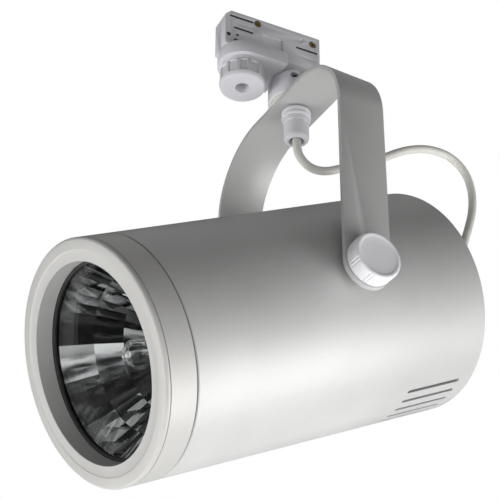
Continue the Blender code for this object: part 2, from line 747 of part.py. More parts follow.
def knob_rim(radius, x, notch=KNOB_GROOVE):
    """A round rim with pairs of fine grooves."""
    points = []
    for pair in range(GROOVE_PAIRS):
        for offset, depth in GROOVE_PAIR:
            y, z = at_angle(radius - notch * depth, 360.0 * pair / GROOVE_PAIRS + offset)
            points.append((x, y, z))
    return points


def build_pivot(side, white, steel, nylon, tilt):
    """One side's clamp: knob with its stud, saddle spacer and the nut inside the tube."""
    name = "right" if side > 0 else "left"
    arm = YOKE_HALF_WIDTH + FIT
    face = arm + TILT_KNOB_DEPTH
    frame = make_frame("tilt_knob_axis_" + name, tilt, rotation=(0.0, 0.0, 0.0 if side > 0 else 180.0))
    knob_mesh = lofted(
        [
            knob_rim(TILT_KNOB_RADIUS - 1.0, arm, 0.0),
            knob_rim(TILT_KNOB_RADIUS, arm + 1.0),
            knob_rim(TILT_KNOB_RADIUS, face - 1.1),
            knob_rim(TILT_KNOB_RADIUS - 1.1, face, 0.0),
            knob_rim(TILT_KNOB_RADIUS - 3.5, face - 0.5, 0.0),
        ]
    )
    knob = add_object("tilt_knob_" + name, knob_mesh, white, frame)
    stud_end = face - STUD_COVER
    hole = rod(STUD_RADIUS + FIT, arm - PAST, stud_end + FIT, 12, "X")
    combine(knob, add_object("tilt_knob_hole_" + name, hole, None, frame))
    nut_outer = HEAD_RADIUS - TUBE_WALL - NUT_GAP
    stud = rod(STUD_RADIUS, nut_outer - NUT_LENGTH - 1.0, stud_end, 12, "X")
    add_object("tilt_stud_" + name, stud, steel, frame)

    fixed = make_frame("pivot_axis_" + name, tilt, rotation=(0.0, 0.0, 0.0 if side > 0 else 180.0))
    inner_face = YOKE_HALF_WIDTH - YOKE_THICKNESS - FIT
    spacer = rod(SPACER_RADIUS, HEAD_RADIUS - TUBE_WALL, inner_face, 24, "X")
    spacer = add_object("pivot_spacer_" + name, spacer, nylon, fixed)
    saddle = rod(HEAD_RADIUS + FIT, -2 * SPACER_RADIUS, 2 * SPACER_RADIUS, 96, "Y")
    combine(spacer, add_object("pivot_saddle_" + name, saddle, None, fixed))
    hole = rod(STUD_RADIUS + STUD_CLEARANCE, HEAD_RADIUS - TUBE_WALL - PAST, inner_face + PAST, 16, "X")
    combine(spacer, add_object("pivot_spacer_hole_" + name, hole, None, fixed))
    nut = rod(NUT_RADIUS, nut_outer - NUT_LENGTH, nut_outer, 6, "X")
    nut = add_object("pivot_nut_" + name, nut, steel, fixed)
    hole = rod(STUD_RADIUS + STUD_CLEARANCE, nut_outer - NUT_LENGTH - PAST, nut_outer + PAST, 12, "X")
    combine(nut, add_object("pivot_nut_hole_" + name, hole, None, fixed))


# ---------------------------------------------------------------- head
# Head pieces are drawn with +Z along the head's axis, towards the rear, and the pivot at Z = 0.

def depth(value):
    """Height on the head's axis of a point this far behind the front face."""
    return value - PIVOT_DEPTH


def section(points):
    return [(radius, depth(value)) for radius, value in points]


def build_tube(silver, head):
    start = SEAM_DEPTH + SEAM_GAP
    inner = HEAD_RADIUS - TUBE_WALL
    tube = turned(
        section(
            [
                (HEAD_RADIUS - SEAM_CHAMFER, start),
                (HEAD_RADIUS, start + SEAM_CHAMFER),
                (HEAD_RADIUS, HEAD_LENGTH - 0.8),
                (HEAD_RADIUS - 0.8, HEAD_LENGTH),
                (inner, HEAD_LENGTH),
                (inner, start),
            ]
        ),
        48,
    )
    tube = add_object("housing_tube", tube, silver, head, 20.0)
    for i in range(VENT_SLOTS):
        angle = 90.0 + VENT_PITCH * (i - (VENT_SLOTS - 1) / 2)
        half = VENT_WIDTH / 2
        high = depth(HEAD_LENGTH - VENT_TO_REAR) - half
        low = high - VENT_LENGTH + VENT_WIDTH
        outline = circle(half, 4, (0.0, high), 0.0, 180.0) + circle(half, 4, (0.0, low), 180.0, 180.0)
        slot = extruded([(z, x) for x, z in outline], inner - PAST, HEAD_RADIUS + PAST, "X")
        bmesh.ops.rotate(slot, verts=slot.verts, matrix=Matrix.Rotation(math.pi / 2, 3, "X"))
        bmesh.ops.rotate(slot, verts=slot.verts, matrix=Matrix.Rotation(math.radians(angle), 3, "Z"))
        combine(tube, add_object("vent_slot_%d" % i, slot, None, head))
    hole = rod(STUD_RADIUS + STUD_CLEARANCE, -HEAD_RADIUS - PAST, HEAD_RADIUS + PAST, 16, "X")
    combine(tube, add_object("tube_pivot_holes", hole, None, head))
    for i in range(BAYONET_COUNT):
        peg_end = inner + TUBE_WALL / 2
        peg = rod(BAYONET_PEG_RADIUS, inner - 2.6, peg_end, 8, "X", (0.0, depth(BAYONET_DEPTH)))
        turn = Matrix.Rotation(math.radians(360.0 * i / BAYONET_COUNT + BAYONET_START), 3, "Z")
        bmesh.ops.rotate(peg, verts=peg.verts, matrix=turn)
        combine(tube, add_object("bayonet_peg_%d" % i, peg, None, head), "UNION")


def build_bezel(silver, rubber, glass, spring, bezel):
    """Front ring with its bayonet spigot, and the glass, gasket and spring ring that it carries."""
    spigot = HEAD_RADIUS - TUBE_WALL - 0.6
    groove = GLASS_SEAT + 2.0
    shelf = GLASS_REAR + 0.2
    ring = turned(
        section(
            [
                (OPENING_RADIUS, FACE_STEP),
                (FACE_STEP_RADIUS, FACE_STEP),
                (FACE_STEP_RADIUS + 0.3, 0.0),
                (HEAD_RADIUS - FACE_CHAMFER, 0.0),
                (HEAD_RADIUS, FACE_CHAMFER),
                (HEAD_RADIUS, SKIRT_GROOVE_DEPTH - FACE_STEP),
                (HEAD_RADIUS - SKIRT_GROOVE, SKIRT_GROOVE_DEPTH),
                (HEAD_RADIUS, SKIRT_GROOVE_DEPTH + FACE_STEP),
                (HEAD_RADIUS, SEAM_DEPTH),
                (spigot, SEAM_DEPTH),
                (spigot, SPIGOT_DEPTH),
                (groove, SPIGOT_DEPTH),
                (groove, shelf),
                (GLASS_SEAT, shelf),
                (GLASS_SEAT, BORE_DEPTH),
                (OPENING_RADIUS, BORE_DEPTH),
            ]
        ),
        48,
    )
    ring = add_object("front_bezel", ring, silver, bezel, 20.0)
    band = BAYONET_PEG_RADIUS + RUN
    middle = depth(BAYONET_DEPTH)
    margin = math.degrees(band / spigot)
    inside = groove - PAST
    outside = spigot + PAST
    for i in range(BAYONET_COUNT):
        start = 360.0 * i / BAYONET_COUNT + BAYONET_START
        sweep = BAYONET_TURN + 2 * margin
        arc = circle(outside, 5, (0.0, 0.0), start - BAYONET_TURN - margin, sweep)
        arc += circle(inside, 5, (0.0, 0.0), start + margin, -sweep)
        run = extruded(arc, middle - band, middle + band)
        combine(ring, add_object("bayonet_run_%d" % i, run, None, bezel))
        mouth = box((inside, outside), (-band, band), (middle, depth(SPIGOT_DEPTH) + PAST))
        turn = Matrix.Rotation(math.radians(start - BAYONET_TURN), 3, "Z")
        bmesh.ops.rotate(mouth, verts=mouth.verts, matrix=turn)
        combine(ring, add_object("bayonet_mouth_%d" % i, mouth, None, bezel))

    gasket = turned(
        section(
            [
                (GASKET_RADIUS, GASKET_FRONT),
                (GLASS_RADIUS, GASKET_FRONT),
                (GLASS_RADIUS, GASKET_FRONT + GASKET_THICKNESS),
                (GASKET_RADIUS, GASKET_FRONT + GASKET_THICKNESS),
            ]
        ),
        36,
    )
    add_object("glass_gasket", gasket, rubber, bezel)
    disc = turned(
        section(
            [(0.0, GLASS_FRONT), (GLASS_RADIUS, GLASS_FRONT), (GLASS_RADIUS, GLASS_REAR), (0.0, GLASS_REAR)]
        ),
        36,
    )
    add_object("front_glass", disc, glass, bezel)
    ring_turn = 360.0 - 2 * CLIP_OPEN
    arc = circle(groove - FIT, 28, (0.0, 0.0), 90.0 + CLIP_OPEN, ring_turn)
    arc += circle(GLASS_SEAT - 3.0, 28, (0.0, 0.0), 90.0 - CLIP_OPEN, -ring_turn)
    clip = extruded(arc, depth(shelf + FIT), depth(shelf + FIT + CLIP_THICKNESS))
    add_object("glass_retaining_ring", clip, spring, bezel)


def reflector_profile():
    """Depth and radius of the parabola whose focus is the lamp's light centre."""
    front = GLASS_REAR + 0.8
    run = LIGHT_CENTRE_DEPTH - front
    focal = (-run + math.sqrt(run**2 + REFLECTOR_RADIUS**2)) / 2
    vertex = LIGHT_CENTRE_DEPTH + focal
    points = []
    for i in range(REFLECTOR_STEPS + 1):
        radius = REFLECTOR_RADIUS + (NECK_RADIUS - REFLECTOR_RADIUS) * i / REFLECTOR_STEPS
        points.append((radius, vertex - radius**2 / (4 * focal)))
    return points


def build_reflector(mirror, steel, head):
    """A paraboloid of flat panels in a spun shell, and the sleeve that carries it."""
    inside = reflector_profile()
    rim_radius, rim_depth = inside[0]
    neck_radius, neck_depth = inside[-1]
    neck_outer = neck_radius + REFLECTOR_WALL
    neck_end = neck_depth + REFLECTOR_SPIGOT
    outside = [(radius + REFLECTOR_WALL, value + REFLECTOR_WALL / 2) for radius, value in reversed(inside)]
    outline = inside + [(neck_radius, neck_end), (neck_outer, neck_end)] + outside
    outline += [(rim_radius + REFLECTOR_WALL, rim_depth)]
    add_object("reflector", turned(section(outline), REFLECTOR_FACETS), mirror, head, 2.0)

    sleeve_front = neck_depth + 2.0
    sleeve_rear = SHIELD_DEPTH - FIT
    sleeve_inner = neck_outer + FIT
    sleeve_outer = sleeve_inner + CARRIER_FLANGE
    sleeve = turned(
        section(
            [
                (sleeve_inner, sleeve_front),
                (sleeve_outer, sleeve_front),
                (sleeve_outer, sleeve_rear),
                (sleeve_outer - SHEET, sleeve_rear),
                (sleeve_outer - SHEET, sleeve_front + SHEET),
                (sleeve_inner, sleeve_front + SHEET),
            ]
        ),
        20,
    )
    sleeve = add_object("reflector_carrier", sleeve, steel, head)
    half = sleeve_inner * 0.7
    for i in range(CARRIER_WINDOWS):
        window = box(
            (0.0, sleeve_outer + PAST), (-half, half), (depth(sleeve_front + 9.0), depth(sleeve_rear - 7.0))
        )
        turn = Matrix.Rotation(math.radians(360.0 * (i + 0.5) / CARRIER_WINDOWS), 3, "Z")
        bmesh.ops.rotate(window, verts=window.verts, matrix=turn)
        combine(sleeve, add_object("carrier_window_%d" % i, window, None, head))


def lamp_dome(radius, centre_depth):
    """(radius, depth) points of the envelope's round end, from its tip."""
    return [(height, centre_depth - along) for along, height in circle(radius, 5, (0.0, 0.0), 0.0, 90.0)]


def build_lamp(lamp_glass, quartz, ceramic, steel, head):
    """Single-ended discharge lamp on a two-pin ceramic base, pushed into its holder."""
    dome = LAMP_TIP_DEPTH + LAMP_RADIUS
    seat = LIGHT_CENTRE_DEPTH + LIGHT_CENTRE_LENGTH
    base_front = seat - LAMP_BASE_LENGTH
    glass_end = base_front - FIT
    outer = lamp_dome(LAMP_RADIUS, dome) + [(LAMP_RADIUS, glass_end)]
    inner = lamp_dome(LAMP_RADIUS - LAMP_WALL, dome) + [(LAMP_RADIUS - LAMP_WALL, glass_end)]
    add_object("lamp_envelope", turned(section(outer + inner[::-1]), 18), lamp_glass, head)
    centre = LIGHT_CENTRE_DEPTH
    burner = turned(
        section(
            [
                (0.0, centre - BURNER_TIP),
                (BURNER_LEG, centre - BURNER_TIP + 0.4),
                (BURNER_LEG, centre - BURNER_SHOULDER),
                (BURNER_RADIUS, centre - BURNER_HALF),
                (BURNER_RADIUS, centre + BURNER_HALF),
                (BURNER_LEG, centre + BURNER_SHOULDER),
                (BURNER_LEG, glass_end),
                (0.0, glass_end),
            ]
        ),
        12,
    )
    add_object("lamp_burner", burner, quartz, head)
    base = turned(
        section(
            [
                (0.0, base_front),
                (LAMP_BASE_RADIUS - 1.5, base_front),
                (LAMP_BASE_RADIUS, base_front + 2.0),
                (LAMP_BASE_RADIUS, seat),
                (0.0, seat),
            ]
        ),
        24,
    )
    base = add_object("lamp_base", base, ceramic, head)
    for i, side in enumerate((-1, 1)):
        x = side * LAMP_PIN_SPACING / 2
        pin = rod(LAMP_PIN_RADIUS, depth(seat) - 1.0, depth(seat) + LAMP_PIN_LENGTH, 10, "Z", (x, 0.0))
        combine(base, add_object("lamp_pin_%d" % i, pin, None, head), "UNION")
    front = depth(seat) + FIT
    rear = depth(SHIELD_DEPTH) - FIT
    half_width = HOLDER_WIDTH / 2
    half_height = HOLDER_HEIGHT / 2
    outline = rounded_box_outline((-half_width, half_width), (-half_height, half_height), 4.0)
    holder = add_object("lamp_holder", extruded(outline, front, rear), ceramic, head)
    for i, side in enumerate((-1, 1)):
        x = side * LAMP_PIN_SPACING / 2
        hole = rod(LAMP_PIN_RADIUS + 0.5, front - PAST, front + LAMP_PIN_LENGTH + 2.0, 10, "Z", (x, 0.0))
        combine(holder, add_object("lamp_holder_hole_%d" % i, hole, None, head))


def build_gear(steel, gear_case, terminal, head):
    """Heat shield, tray, electronic ballast and terminal block behind the lamp chamber."""
    front = depth(SHIELD_DEPTH)
    shield = add_object("heat_shield", rod(SHIELD_RADIUS, front, front + SHEET, 36), steel, head)
    window_radius = SHIELD_RADIUS * 0.16
    for i in range(SHIELD_WINDOWS):
        x, y = at_angle(SHIELD_RADIUS * 0.66, 360.0 * (i + 0.5) / SHIELD_WINDOWS)
        window = rod(window_radius, front - PAST, front + SHEET + PAST, 12, "Z", (x, y))
        combine(shield, add_object("shield_window_%d" % i, window, None, head))
    tray_front = front + SHEET + FIT
    tray_rear = depth(CAP_FRONT) - FIT
    tab = TRAY_DROP - TRAY_TAB
    sheet_top = TRAY_DROP - SHEET
    outline = [
        (TRAY_DROP, tray_front),
        (TRAY_DROP, tray_rear),
        (tab, tray_rear),
        (tab, tray_rear - SHEET),
        (sheet_top, tray_rear - SHEET),
        (sheet_top, tray_front + SHEET),
        (tab, tray_front + SHEET),
        (tab, tray_front),
    ]
    half = TRAY_WIDTH / 2
    add_object("gear_tray", extruded(outline, -half, half, "X"), steel, head)
    floor = sheet_top - FIT
    roof = floor - BALLAST_HEIGHT
    low = tray_front + SHEET + BALLAST_MARGIN / 2
    high = tray_rear - 2 * BALLAST_MARGIN + END_RING_LENGTH
    half = BALLAST_WIDTH / 2
    outline = rounded_box_outline((-half, half), (roof, floor), 2.5, 3)
    add_object("ballast", extruded(outline, low, high), gear_case, head)
    roof -= FIT
    half = TERMINAL_WIDTH / 2
    end = high - 4.0
    start = end - TERMINAL_LENGTH
    block = box((-half, half), (roof - TERMINAL_HEIGHT, roof), (start, end))
    block = add_object("terminal_block", block, terminal, head)
    for i in range(TERMINAL_WAYS):
        x = (i - (TERMINAL_WAYS - 1) / 2) * 9.0
        hole = rod(2.2, start - PAST, end + PAST, 10, "Z", (x, roof - TERMINAL_HEIGHT / 2))
        combine(block, add_object("terminal_hole_%d" % i, hole, None, head))


def build_rear(silver, steel, rubber, head):
    """Recessed rear cap with radial vents, its end ring, three screws and the cord bush."""
    edge = CAP_RADIUS - CAP_CHAMFER
    cap = turned(
        section(
            [
                (0.0, CAP_FRONT),
                (CAP_RADIUS, CAP_FRONT),
                (CAP_RADIUS, CAP_REAR - CAP_CHAMFER),
                (edge, CAP_REAR),
                (0.0, CAP_REAR),
            ]
        ),
        48,
    )
    cap = add_object("rear_cap", cap, silver, head, 20.0)
    below = depth(CAP_FRONT) - PAST
    above = depth(CAP_REAR) + PAST
    half = CAP_SLOT_WIDTH / 2
    for i in range(CAP_SLOTS):
        outline = circle(half, 4, (CAP_SLOT_INNER, 0.0), 90.0, 180.0)
        outline += circle(half, 4, (CAP_SLOT_OUTER, 0.0), 270.0, 180.0)
        slot = extruded(outline, below, above)
        turn = Matrix.Rotation(math.radians(360.0 * (i + 0.5) / CAP_SLOTS), 3, "Z")
        bmesh.ops.rotate(slot, verts=slot.verts, matrix=turn)
        combine(cap, add_object("cap_slot_%d" % i, slot, None, head))
    hole = rod(BUSH_NECK_RADIUS + FIT, below, above, 20)
    combine(cap, add_object("cap_cord_hole", hole, None, head))
    ring = turned(
        section(
            [
                (CAP_RADIUS - END_RING_WIDTH, CAP_FRONT - FIT - END_RING_LENGTH),
                (CAP_RADIUS, CAP_FRONT - FIT - END_RING_LENGTH),
                (CAP_RADIUS, CAP_FRONT - FIT),
                (CAP_RADIUS - END_RING_WIDTH, CAP_FRONT - FIT),
            ]
        ),
        36,
    )
    ring = add_object("tube_end_ring", ring, steel, head)
    for i, angle in enumerate(CAP_SCREW_ANGLES):
        x, y = at_angle(CAP_SCREW_CIRCLE, angle)
        hole = rod(CAP_SCREW_SHANK + FIT, below - 2 * END_RING_LENGTH, above, 12, "Z", (x, y))
        hole = add_object("cap_screw_hole_%d" % i, hole, None, head)
        combine(cap, hole)
        combine(ring, hole)
        screw = turned(
            section(
                [
                    (0.0, CAP_REAR + 0.9),
                    (1.3, CAP_REAR + 1.9),
                    (CAP_SCREW_HEAD - 0.4, CAP_REAR + 1.9),
                    (CAP_SCREW_HEAD, CAP_REAR + 1.2),
                    (CAP_SCREW_HEAD, CAP_REAR + FIT),
                    (CAP_SCREW_SHANK, CAP_REAR + FIT),
                    (CAP_SCREW_SHANK, CAP_FRONT - END_RING_LENGTH),
                    (0.0, CAP_FRONT - END_RING_LENGTH - 1.5),
                ]
            ),
            10,
        )
        bmesh.ops.translate(screw, verts=screw.verts, vec=(x, y, 0.0))
        add_object("rear_cap_screw_%d" % (i + 1), screw, steel, head)
    barb = BUSH_NECK_RADIUS + 1.7
    flange = CAP_REAR + BUSH_FLANGE
    bush = turned(
        section(
            [
                (BUSH_BORE, CAP_FRONT - 3.5),
                (barb, CAP_FRONT - 3.5),
                (barb, CAP_FRONT - FIT),
                (BUSH_NECK_RADIUS, CAP_FRONT - FIT),
                (BUSH_NECK_RADIUS, CAP_REAR + FIT),
                (BUSH_FLANGE_RADIUS, CAP_REAR + FIT),
                (BUSH_FLANGE_RADIUS, flange),
                (BUSH_BORE + 2.9, flange + 1.0),
                (BUSH_BORE + 1.3, CAP_REAR + BUSH_LENGTH),
                (BUSH_BORE, CAP_REAR + BUSH_LENGTH),
            ]
        ),
        16,
    )
    add_object("cord_bush", bush, rubber, head)


def build():
    clear_scene()
    silver = make_material("satin_silver_paint", (0.62, 0.63, 0.63), 0.38, 0.35)
    white = make_material("light_grey_plastic", (0.74, 0.75, 0.76), 0.42)
    knob_white = make_material("white_plastic", (0.84, 0.84, 0.85), 0.4)
    steel = make_material("zinc_steel", (0.6, 0.6, 0.58), 0.35, 1.0)
    brass = make_material("brass", (0.42, 0.3, 0.13), 0.35, 1.0)
    copper = make_material("contact_copper", (0.75, 0.42, 0.25), 0.3, 1.0)
    nylon = make_material("natural_nylon", (0.78, 0.77, 0.72), 0.5)
    rubber = make_material("black_silicone", (0.02, 0.02, 0.02), 0.55)
    ivory = make_material("white_silicone_flex", (0.78, 0.77, 0.72), 0.45)
    glass = make_material("toughened_glass", (0.95, 0.97, 0.96), 0.02, 0.0, 1.0)
    lamp_glass = make_material("lamp_glass", (0.97, 0.97, 0.97), 0.02, 0.0, 1.0)
    quartz = make_material("lamp_burner_ceramic", (0.85, 0.83, 0.78), 0.3)
    ceramic = make_material("steatite", (0.82, 0.8, 0.74), 0.55)
    mirror = make_material("anodised_mirror_aluminium", (0.9, 0.9, 0.91), 0.06, 1.0)
    gear_case = make_material("gear_case", (0.68, 0.68, 0.66), 0.45, 0.3)

    pan = make_frame("pan_axis", None, (0.0, 0.0, -SHOULDER_TO_BRIDGE), (0.0, 0.0, PAN_ANGLE))
    tilt = make_frame("tilt_axis", pan, (0.0, 0.0, -YOKE_DROP), (TILT_ANGLE, 0.0, 0.0))
    head = make_frame("head_axis", tilt, rotation=(-90.0, 0.0, 0.0))
    bezel = make_frame("bezel_axis", head)

    build_adapter(white, copper, steel, brass)
    build_selector(white, copper, steel)
    build_yoke(silver, white, steel, nylon, pan)
    build_cord(ivory, pan)
    for side in (1, -1):
        build_pivot(side, knob_white, steel, nylon, tilt)
    build_tube(silver, head)
    build_bezel(silver, rubber, glass, steel, bezel)
    build_reflector(mirror, steel, head)
    build_lamp(lamp_glass, quartz, ceramic, steel, head)
    build_gear(steel, gear_case, nylon, head)
    build_rear(silver, steel, rubber, head)


build()
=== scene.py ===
import json
from math import cos, pi, radians, sin, sqrt

import bmesh
import bpy
from mathutils import Matrix, Vector


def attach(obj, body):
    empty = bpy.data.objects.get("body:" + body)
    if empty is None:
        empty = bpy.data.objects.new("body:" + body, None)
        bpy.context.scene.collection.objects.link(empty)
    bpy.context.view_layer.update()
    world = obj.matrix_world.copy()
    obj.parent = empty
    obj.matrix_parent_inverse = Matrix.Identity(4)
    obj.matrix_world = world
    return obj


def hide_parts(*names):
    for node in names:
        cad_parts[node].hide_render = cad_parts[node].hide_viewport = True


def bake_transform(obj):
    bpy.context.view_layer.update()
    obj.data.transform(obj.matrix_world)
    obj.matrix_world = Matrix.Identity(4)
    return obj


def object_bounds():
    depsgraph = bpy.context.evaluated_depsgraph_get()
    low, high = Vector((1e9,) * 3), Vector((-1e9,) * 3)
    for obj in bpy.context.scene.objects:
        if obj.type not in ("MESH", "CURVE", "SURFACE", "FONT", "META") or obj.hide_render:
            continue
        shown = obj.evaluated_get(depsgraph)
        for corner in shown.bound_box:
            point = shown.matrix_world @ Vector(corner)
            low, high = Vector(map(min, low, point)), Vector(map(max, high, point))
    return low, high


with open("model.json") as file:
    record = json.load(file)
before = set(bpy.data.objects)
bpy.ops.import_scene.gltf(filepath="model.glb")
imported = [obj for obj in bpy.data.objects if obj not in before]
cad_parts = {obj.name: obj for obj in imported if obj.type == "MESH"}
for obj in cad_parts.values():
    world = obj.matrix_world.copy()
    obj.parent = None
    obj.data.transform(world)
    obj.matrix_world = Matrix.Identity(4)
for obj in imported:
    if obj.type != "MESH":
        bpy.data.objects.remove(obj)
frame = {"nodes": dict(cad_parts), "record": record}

frame_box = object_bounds()


# Studio. The fitting hangs well above a pale board floor, in a white sweep. Broad soft boxes stand
# in front of it and low down, so the underside is the bright side.
scene = bpy.context.scene
scene.view_settings.view_transform = "Standard"
yaw, pitch, roll = radians(64.14), radians(33.84), radians(0.35)
ahead = Vector((-sin(yaw) * cos(pitch), cos(yaw) * cos(pitch), sin(pitch)))
level = Vector((cos(yaw), sin(yaw), 0.0))
upright = level.cross(ahead)
right = cos(roll) * level + sin(roll) * upright
up = cos(roll) * upright - sin(roll) * level
camera_place = (0.78779, -0.41754, -0.75096)
camera = bpy.data.objects.new("camera", bpy.data.cameras.new("camera"))
camera.data.sensor_width = 36.0
camera.data.lens = 115.5
camera.matrix_world = Matrix.Translation(camera_place) @ Matrix((right, up, -ahead)).transposed().to_4x4()
scene.collection.objects.link(camera)
scene.camera = camera


def soft_box(name, place, target, width, height, power, mirrored=True):
    """A soft box aimed at a point; one that isn't mirrored lights the piece without showing in its gloss."""
    light = bpy.data.lights.new(name, "AREA")
    light.shape = "RECTANGLE"
    light.size, light.size_y, light.energy = width, height, power
    box = bpy.data.objects.new(name, light)
    box.location = place
    box.rotation_euler = (Vector(target) - Vector(place)).to_track_quat("-Z", "Y").to_euler()
    box.visible_camera = False
    box.visible_glossy = mirrored
    box.visible_transmission = mirrored
    scene.collection.objects.link(box)


middle = (frame_box[0] + frame_box[1]) / 2
soft_box("face_box", (-0.5, -1.5, -1.0), middle, 1.3, 1.0, 15.0, False)
soft_box("low_box", (0.45, 1.05, -0.75), (0.05, 0.16, -0.18), 0.9, 0.9, 10.5)
soft_box("under_box", (0.0, 0.02, -0.8), middle, 0.7, 0.7, 2.7, False)
soft_box("top_box", (-0.3, 0.2, 1.5), middle, 1.2, 1.2, 2.5)
soft_box("yoke_box", (0.05, -0.6, -0.45), (-0.05, 0.0, -0.09), 0.25, 0.25, 0.7, False)
soft_box("band_box", (-0.55, -1.5, -0.85), middle, 0.9, 0.3, 1.0)

# The sweep is white to the eye and dim as a light. In gloss and behind the glass it gives way to a
# dark room, whose one row of windows is stretched along the beam and streaks the reflector.
rest_tilt = radians(26.7)
white = (1.0, 1.0, 1.0, 1.0)
window_level, window_half_height, window_fade = 0.3, 0.05, 0.38
window_power, room_power = 1.5, 0.06
world = bpy.data.worlds.new("sweep")
world.use_nodes = True
scene.world = world
sweep = world.node_tree
dim = sweep.nodes["Background"]
dim.inputs["Color"].default_value = white
dim.inputs["Strength"].default_value = 0.12
seen_white = sweep.nodes.new("ShaderNodeBackground")
seen_white.inputs["Color"].default_value = white
dark_room = sweep.nodes.new("ShaderNodeBackground")
way = sweep.nodes.new("ShaderNodeTexCoord")
along_beam = sweep.nodes.new("ShaderNodeMapping")
along_beam.vector_type = "TEXTURE"
along_beam.inputs["Rotation"].default_value = (rest_tilt - pi / 2, 0.0, 0.0)
along_beam.inputs["Scale"].default_value = (1.0, 1.0, 7.0)
panes = sweep.nodes.new("ShaderNodeTexNoise")
panes.inputs["Scale"].default_value = 9.0
panes.inputs["Detail"].default_value = 2.0
openings = sweep.nodes.new("ShaderNodeValToRGB")
for stop, position, colour in zip(openings.color_ramp.elements, (0.44, 0.62), ((0.012, 0.012, 0.013, 1.0), white)):
    stop.position, stop.color = position, colour
in_beam = sweep.nodes.new("ShaderNodeSeparateXYZ")
from_level = sweep.nodes.new("ShaderNodeMath")
from_level.operation = "SUBTRACT"
from_level.inputs[1].default_value = window_level
off_level = sweep.nodes.new("ShaderNodeMath")
off_level.operation = "ABSOLUTE"
window_row = sweep.nodes.new("ShaderNodeMapRange")
for label, value in (
    ("From Min", window_half_height), ("From Max", window_fade), ("To Min", window_power), ("To Max", room_power),
):
    window_row.inputs[label].default_value = value
ray = sweep.nodes.new("ShaderNodeLightPath")
mirrored_ray = sweep.nodes.new("ShaderNodeMath")
mirrored_ray.operation = "MAXIMUM"
in_gloss = sweep.nodes.new("ShaderNodeMixShader")
either = sweep.nodes.new("ShaderNodeMixShader")
for source, target in (
    (way.outputs["Generated"], along_beam.inputs["Vector"]),
    (along_beam.outputs["Vector"], panes.inputs["Vector"]),
    (along_beam.outputs["Vector"], in_beam.inputs["Vector"]),
    (in_beam.outputs["Y"], from_level.inputs[0]),
    (from_level.outputs["Value"], off_level.inputs[0]),
    (off_level.outputs["Value"], window_row.inputs["Value"]),
    (window_row.outputs["Result"], dark_room.inputs["Strength"]),
    (panes.outputs["Fac"], openings.inputs["Fac"]),
    (openings.outputs["Color"], dark_room.inputs["Color"]),
    (ray.outputs["Is Glossy Ray"], mirrored_ray.inputs[0]),
    (ray.outputs["Is Transmission Ray"], mirrored_ray.inputs[1]),
    (mirrored_ray.outputs[0], in_gloss.inputs[0]),
    (dim.outputs[0], in_gloss.inputs[1]),
    (dark_room.outputs[0], in_gloss.inputs[2]),
    (ray.outputs["Is Camera Ray"], either.inputs[0]),
    (in_gloss.outputs[0], either.inputs[1]),
    (seen_white.outputs[0], either.inputs[2]),
    (either.outputs[0], sweep.nodes["World Output"].inputs["Surface"]),
):
    sweep.links.new(source, target)


def new_group(name, inputs, outputs):
    """A shader group with its named sockets: (name, kind, starting value)."""
    group = bpy.data.node_groups.new(name, "ShaderNodeTree")
    for label, kind, value in inputs:
        socket = group.interface.new_socket(label, in_out="INPUT", socket_type="NodeSocket" + kind)
        if value is not None:
            socket.default_value = value
    for label, kind in outputs:
        group.interface.new_socket(label, in_out="OUTPUT", socket_type="NodeSocket" + kind)
    return group, group.nodes.new("NodeGroupInput").outputs, group.nodes.new("NodeGroupOutput").inputs


# Every sprayed, moulded or plated skin here has the same make-up: a fine grain that shows in the
# gloss and the relief, slow patches of tone, and flecks. Each finish sets its own sizes.
skin, given, result = new_group(
    "surface_grain",
    [
        ("Vector", "Vector", None),
        ("Colour", "Color", (0.8, 0.8, 0.8, 1.0)),
        ("Patch Colour", "Color", (0.7, 0.7, 0.7, 1.0)),
        ("Patches Per Metre", "Float", 12.0),
        ("Grains Per Metre", "Float", 900.0),
        ("Fleck", "Float", 0.2),
        ("Lowest Roughness", "Float", 0.35),
        ("Highest Roughness", "Float", 0.45),
        ("Grain Height", "Float", 0.00002),
    ],
    [("Colour", "Color"), ("Roughness", "Float"), ("Normal", "Vector")],
)
slow = skin.nodes.new("ShaderNodeTexNoise")
slow.inputs["Detail"].default_value = 3.0
fine = skin.nodes.new("ShaderNodeTexNoise")
fine.inputs["Detail"].default_value = 2.0
tone = skin.nodes.new("ShaderNodeMapRange")
tone.inputs["From Min"].default_value = 0.3
tone.inputs["From Max"].default_value = 0.7
fleck = skin.nodes.new("ShaderNodeMath")
fleck.operation = "MULTIPLY"
share = skin.nodes.new("ShaderNodeMath")
share.operation = "ADD"
share.use_clamp = True
blended = skin.nodes.new("ShaderNodeMix")
blended.data_type = "RGBA"
gloss = skin.nodes.new("ShaderNodeMapRange")
gloss.inputs["From Min"].default_value = 0.25
gloss.inputs["From Max"].default_value = 0.75
relief = skin.nodes.new("ShaderNodeBump")
relief.inputs["Strength"].default_value = 1.0
for source, target in (
    (given["Vector"], slow.inputs["Vector"]),
    (given["Vector"], fine.inputs["Vector"]),
    (given["Patches Per Metre"], slow.inputs["Scale"]),
    (given["Grains Per Metre"], fine.inputs["Scale"]),
    (slow.outputs["Fac"], tone.inputs["Value"]),
    (fine.outputs["Fac"], fleck.inputs[0]),
    (given["Fleck"], fleck.inputs[1]),
    (tone.outputs[0], share.inputs[0]),
    (fleck.outputs[0], share.inputs[1]),
    (share.outputs[0], blended.inputs[0]),
    (given["Colour"], blended.inputs[6]),
    (given["Patch Colour"], blended.inputs[7]),
    (blended.outputs[2], result["Colour"]),
    (fine.outputs["Fac"], gloss.inputs["Value"]),
    (given["Lowest Roughness"], gloss.inputs["To Min"]),
    (given["Highest Roughness"], gloss.inputs["To Max"]),
    (gloss.outputs[0], result["Roughness"]),
    (fine.outputs["Fac"], relief.inputs["Height"]),
    (given["Grain Height"], relief.inputs["Distance"]),
    (relief.outputs[0], result["Normal"]),
):
    skin.links.new(source, target)


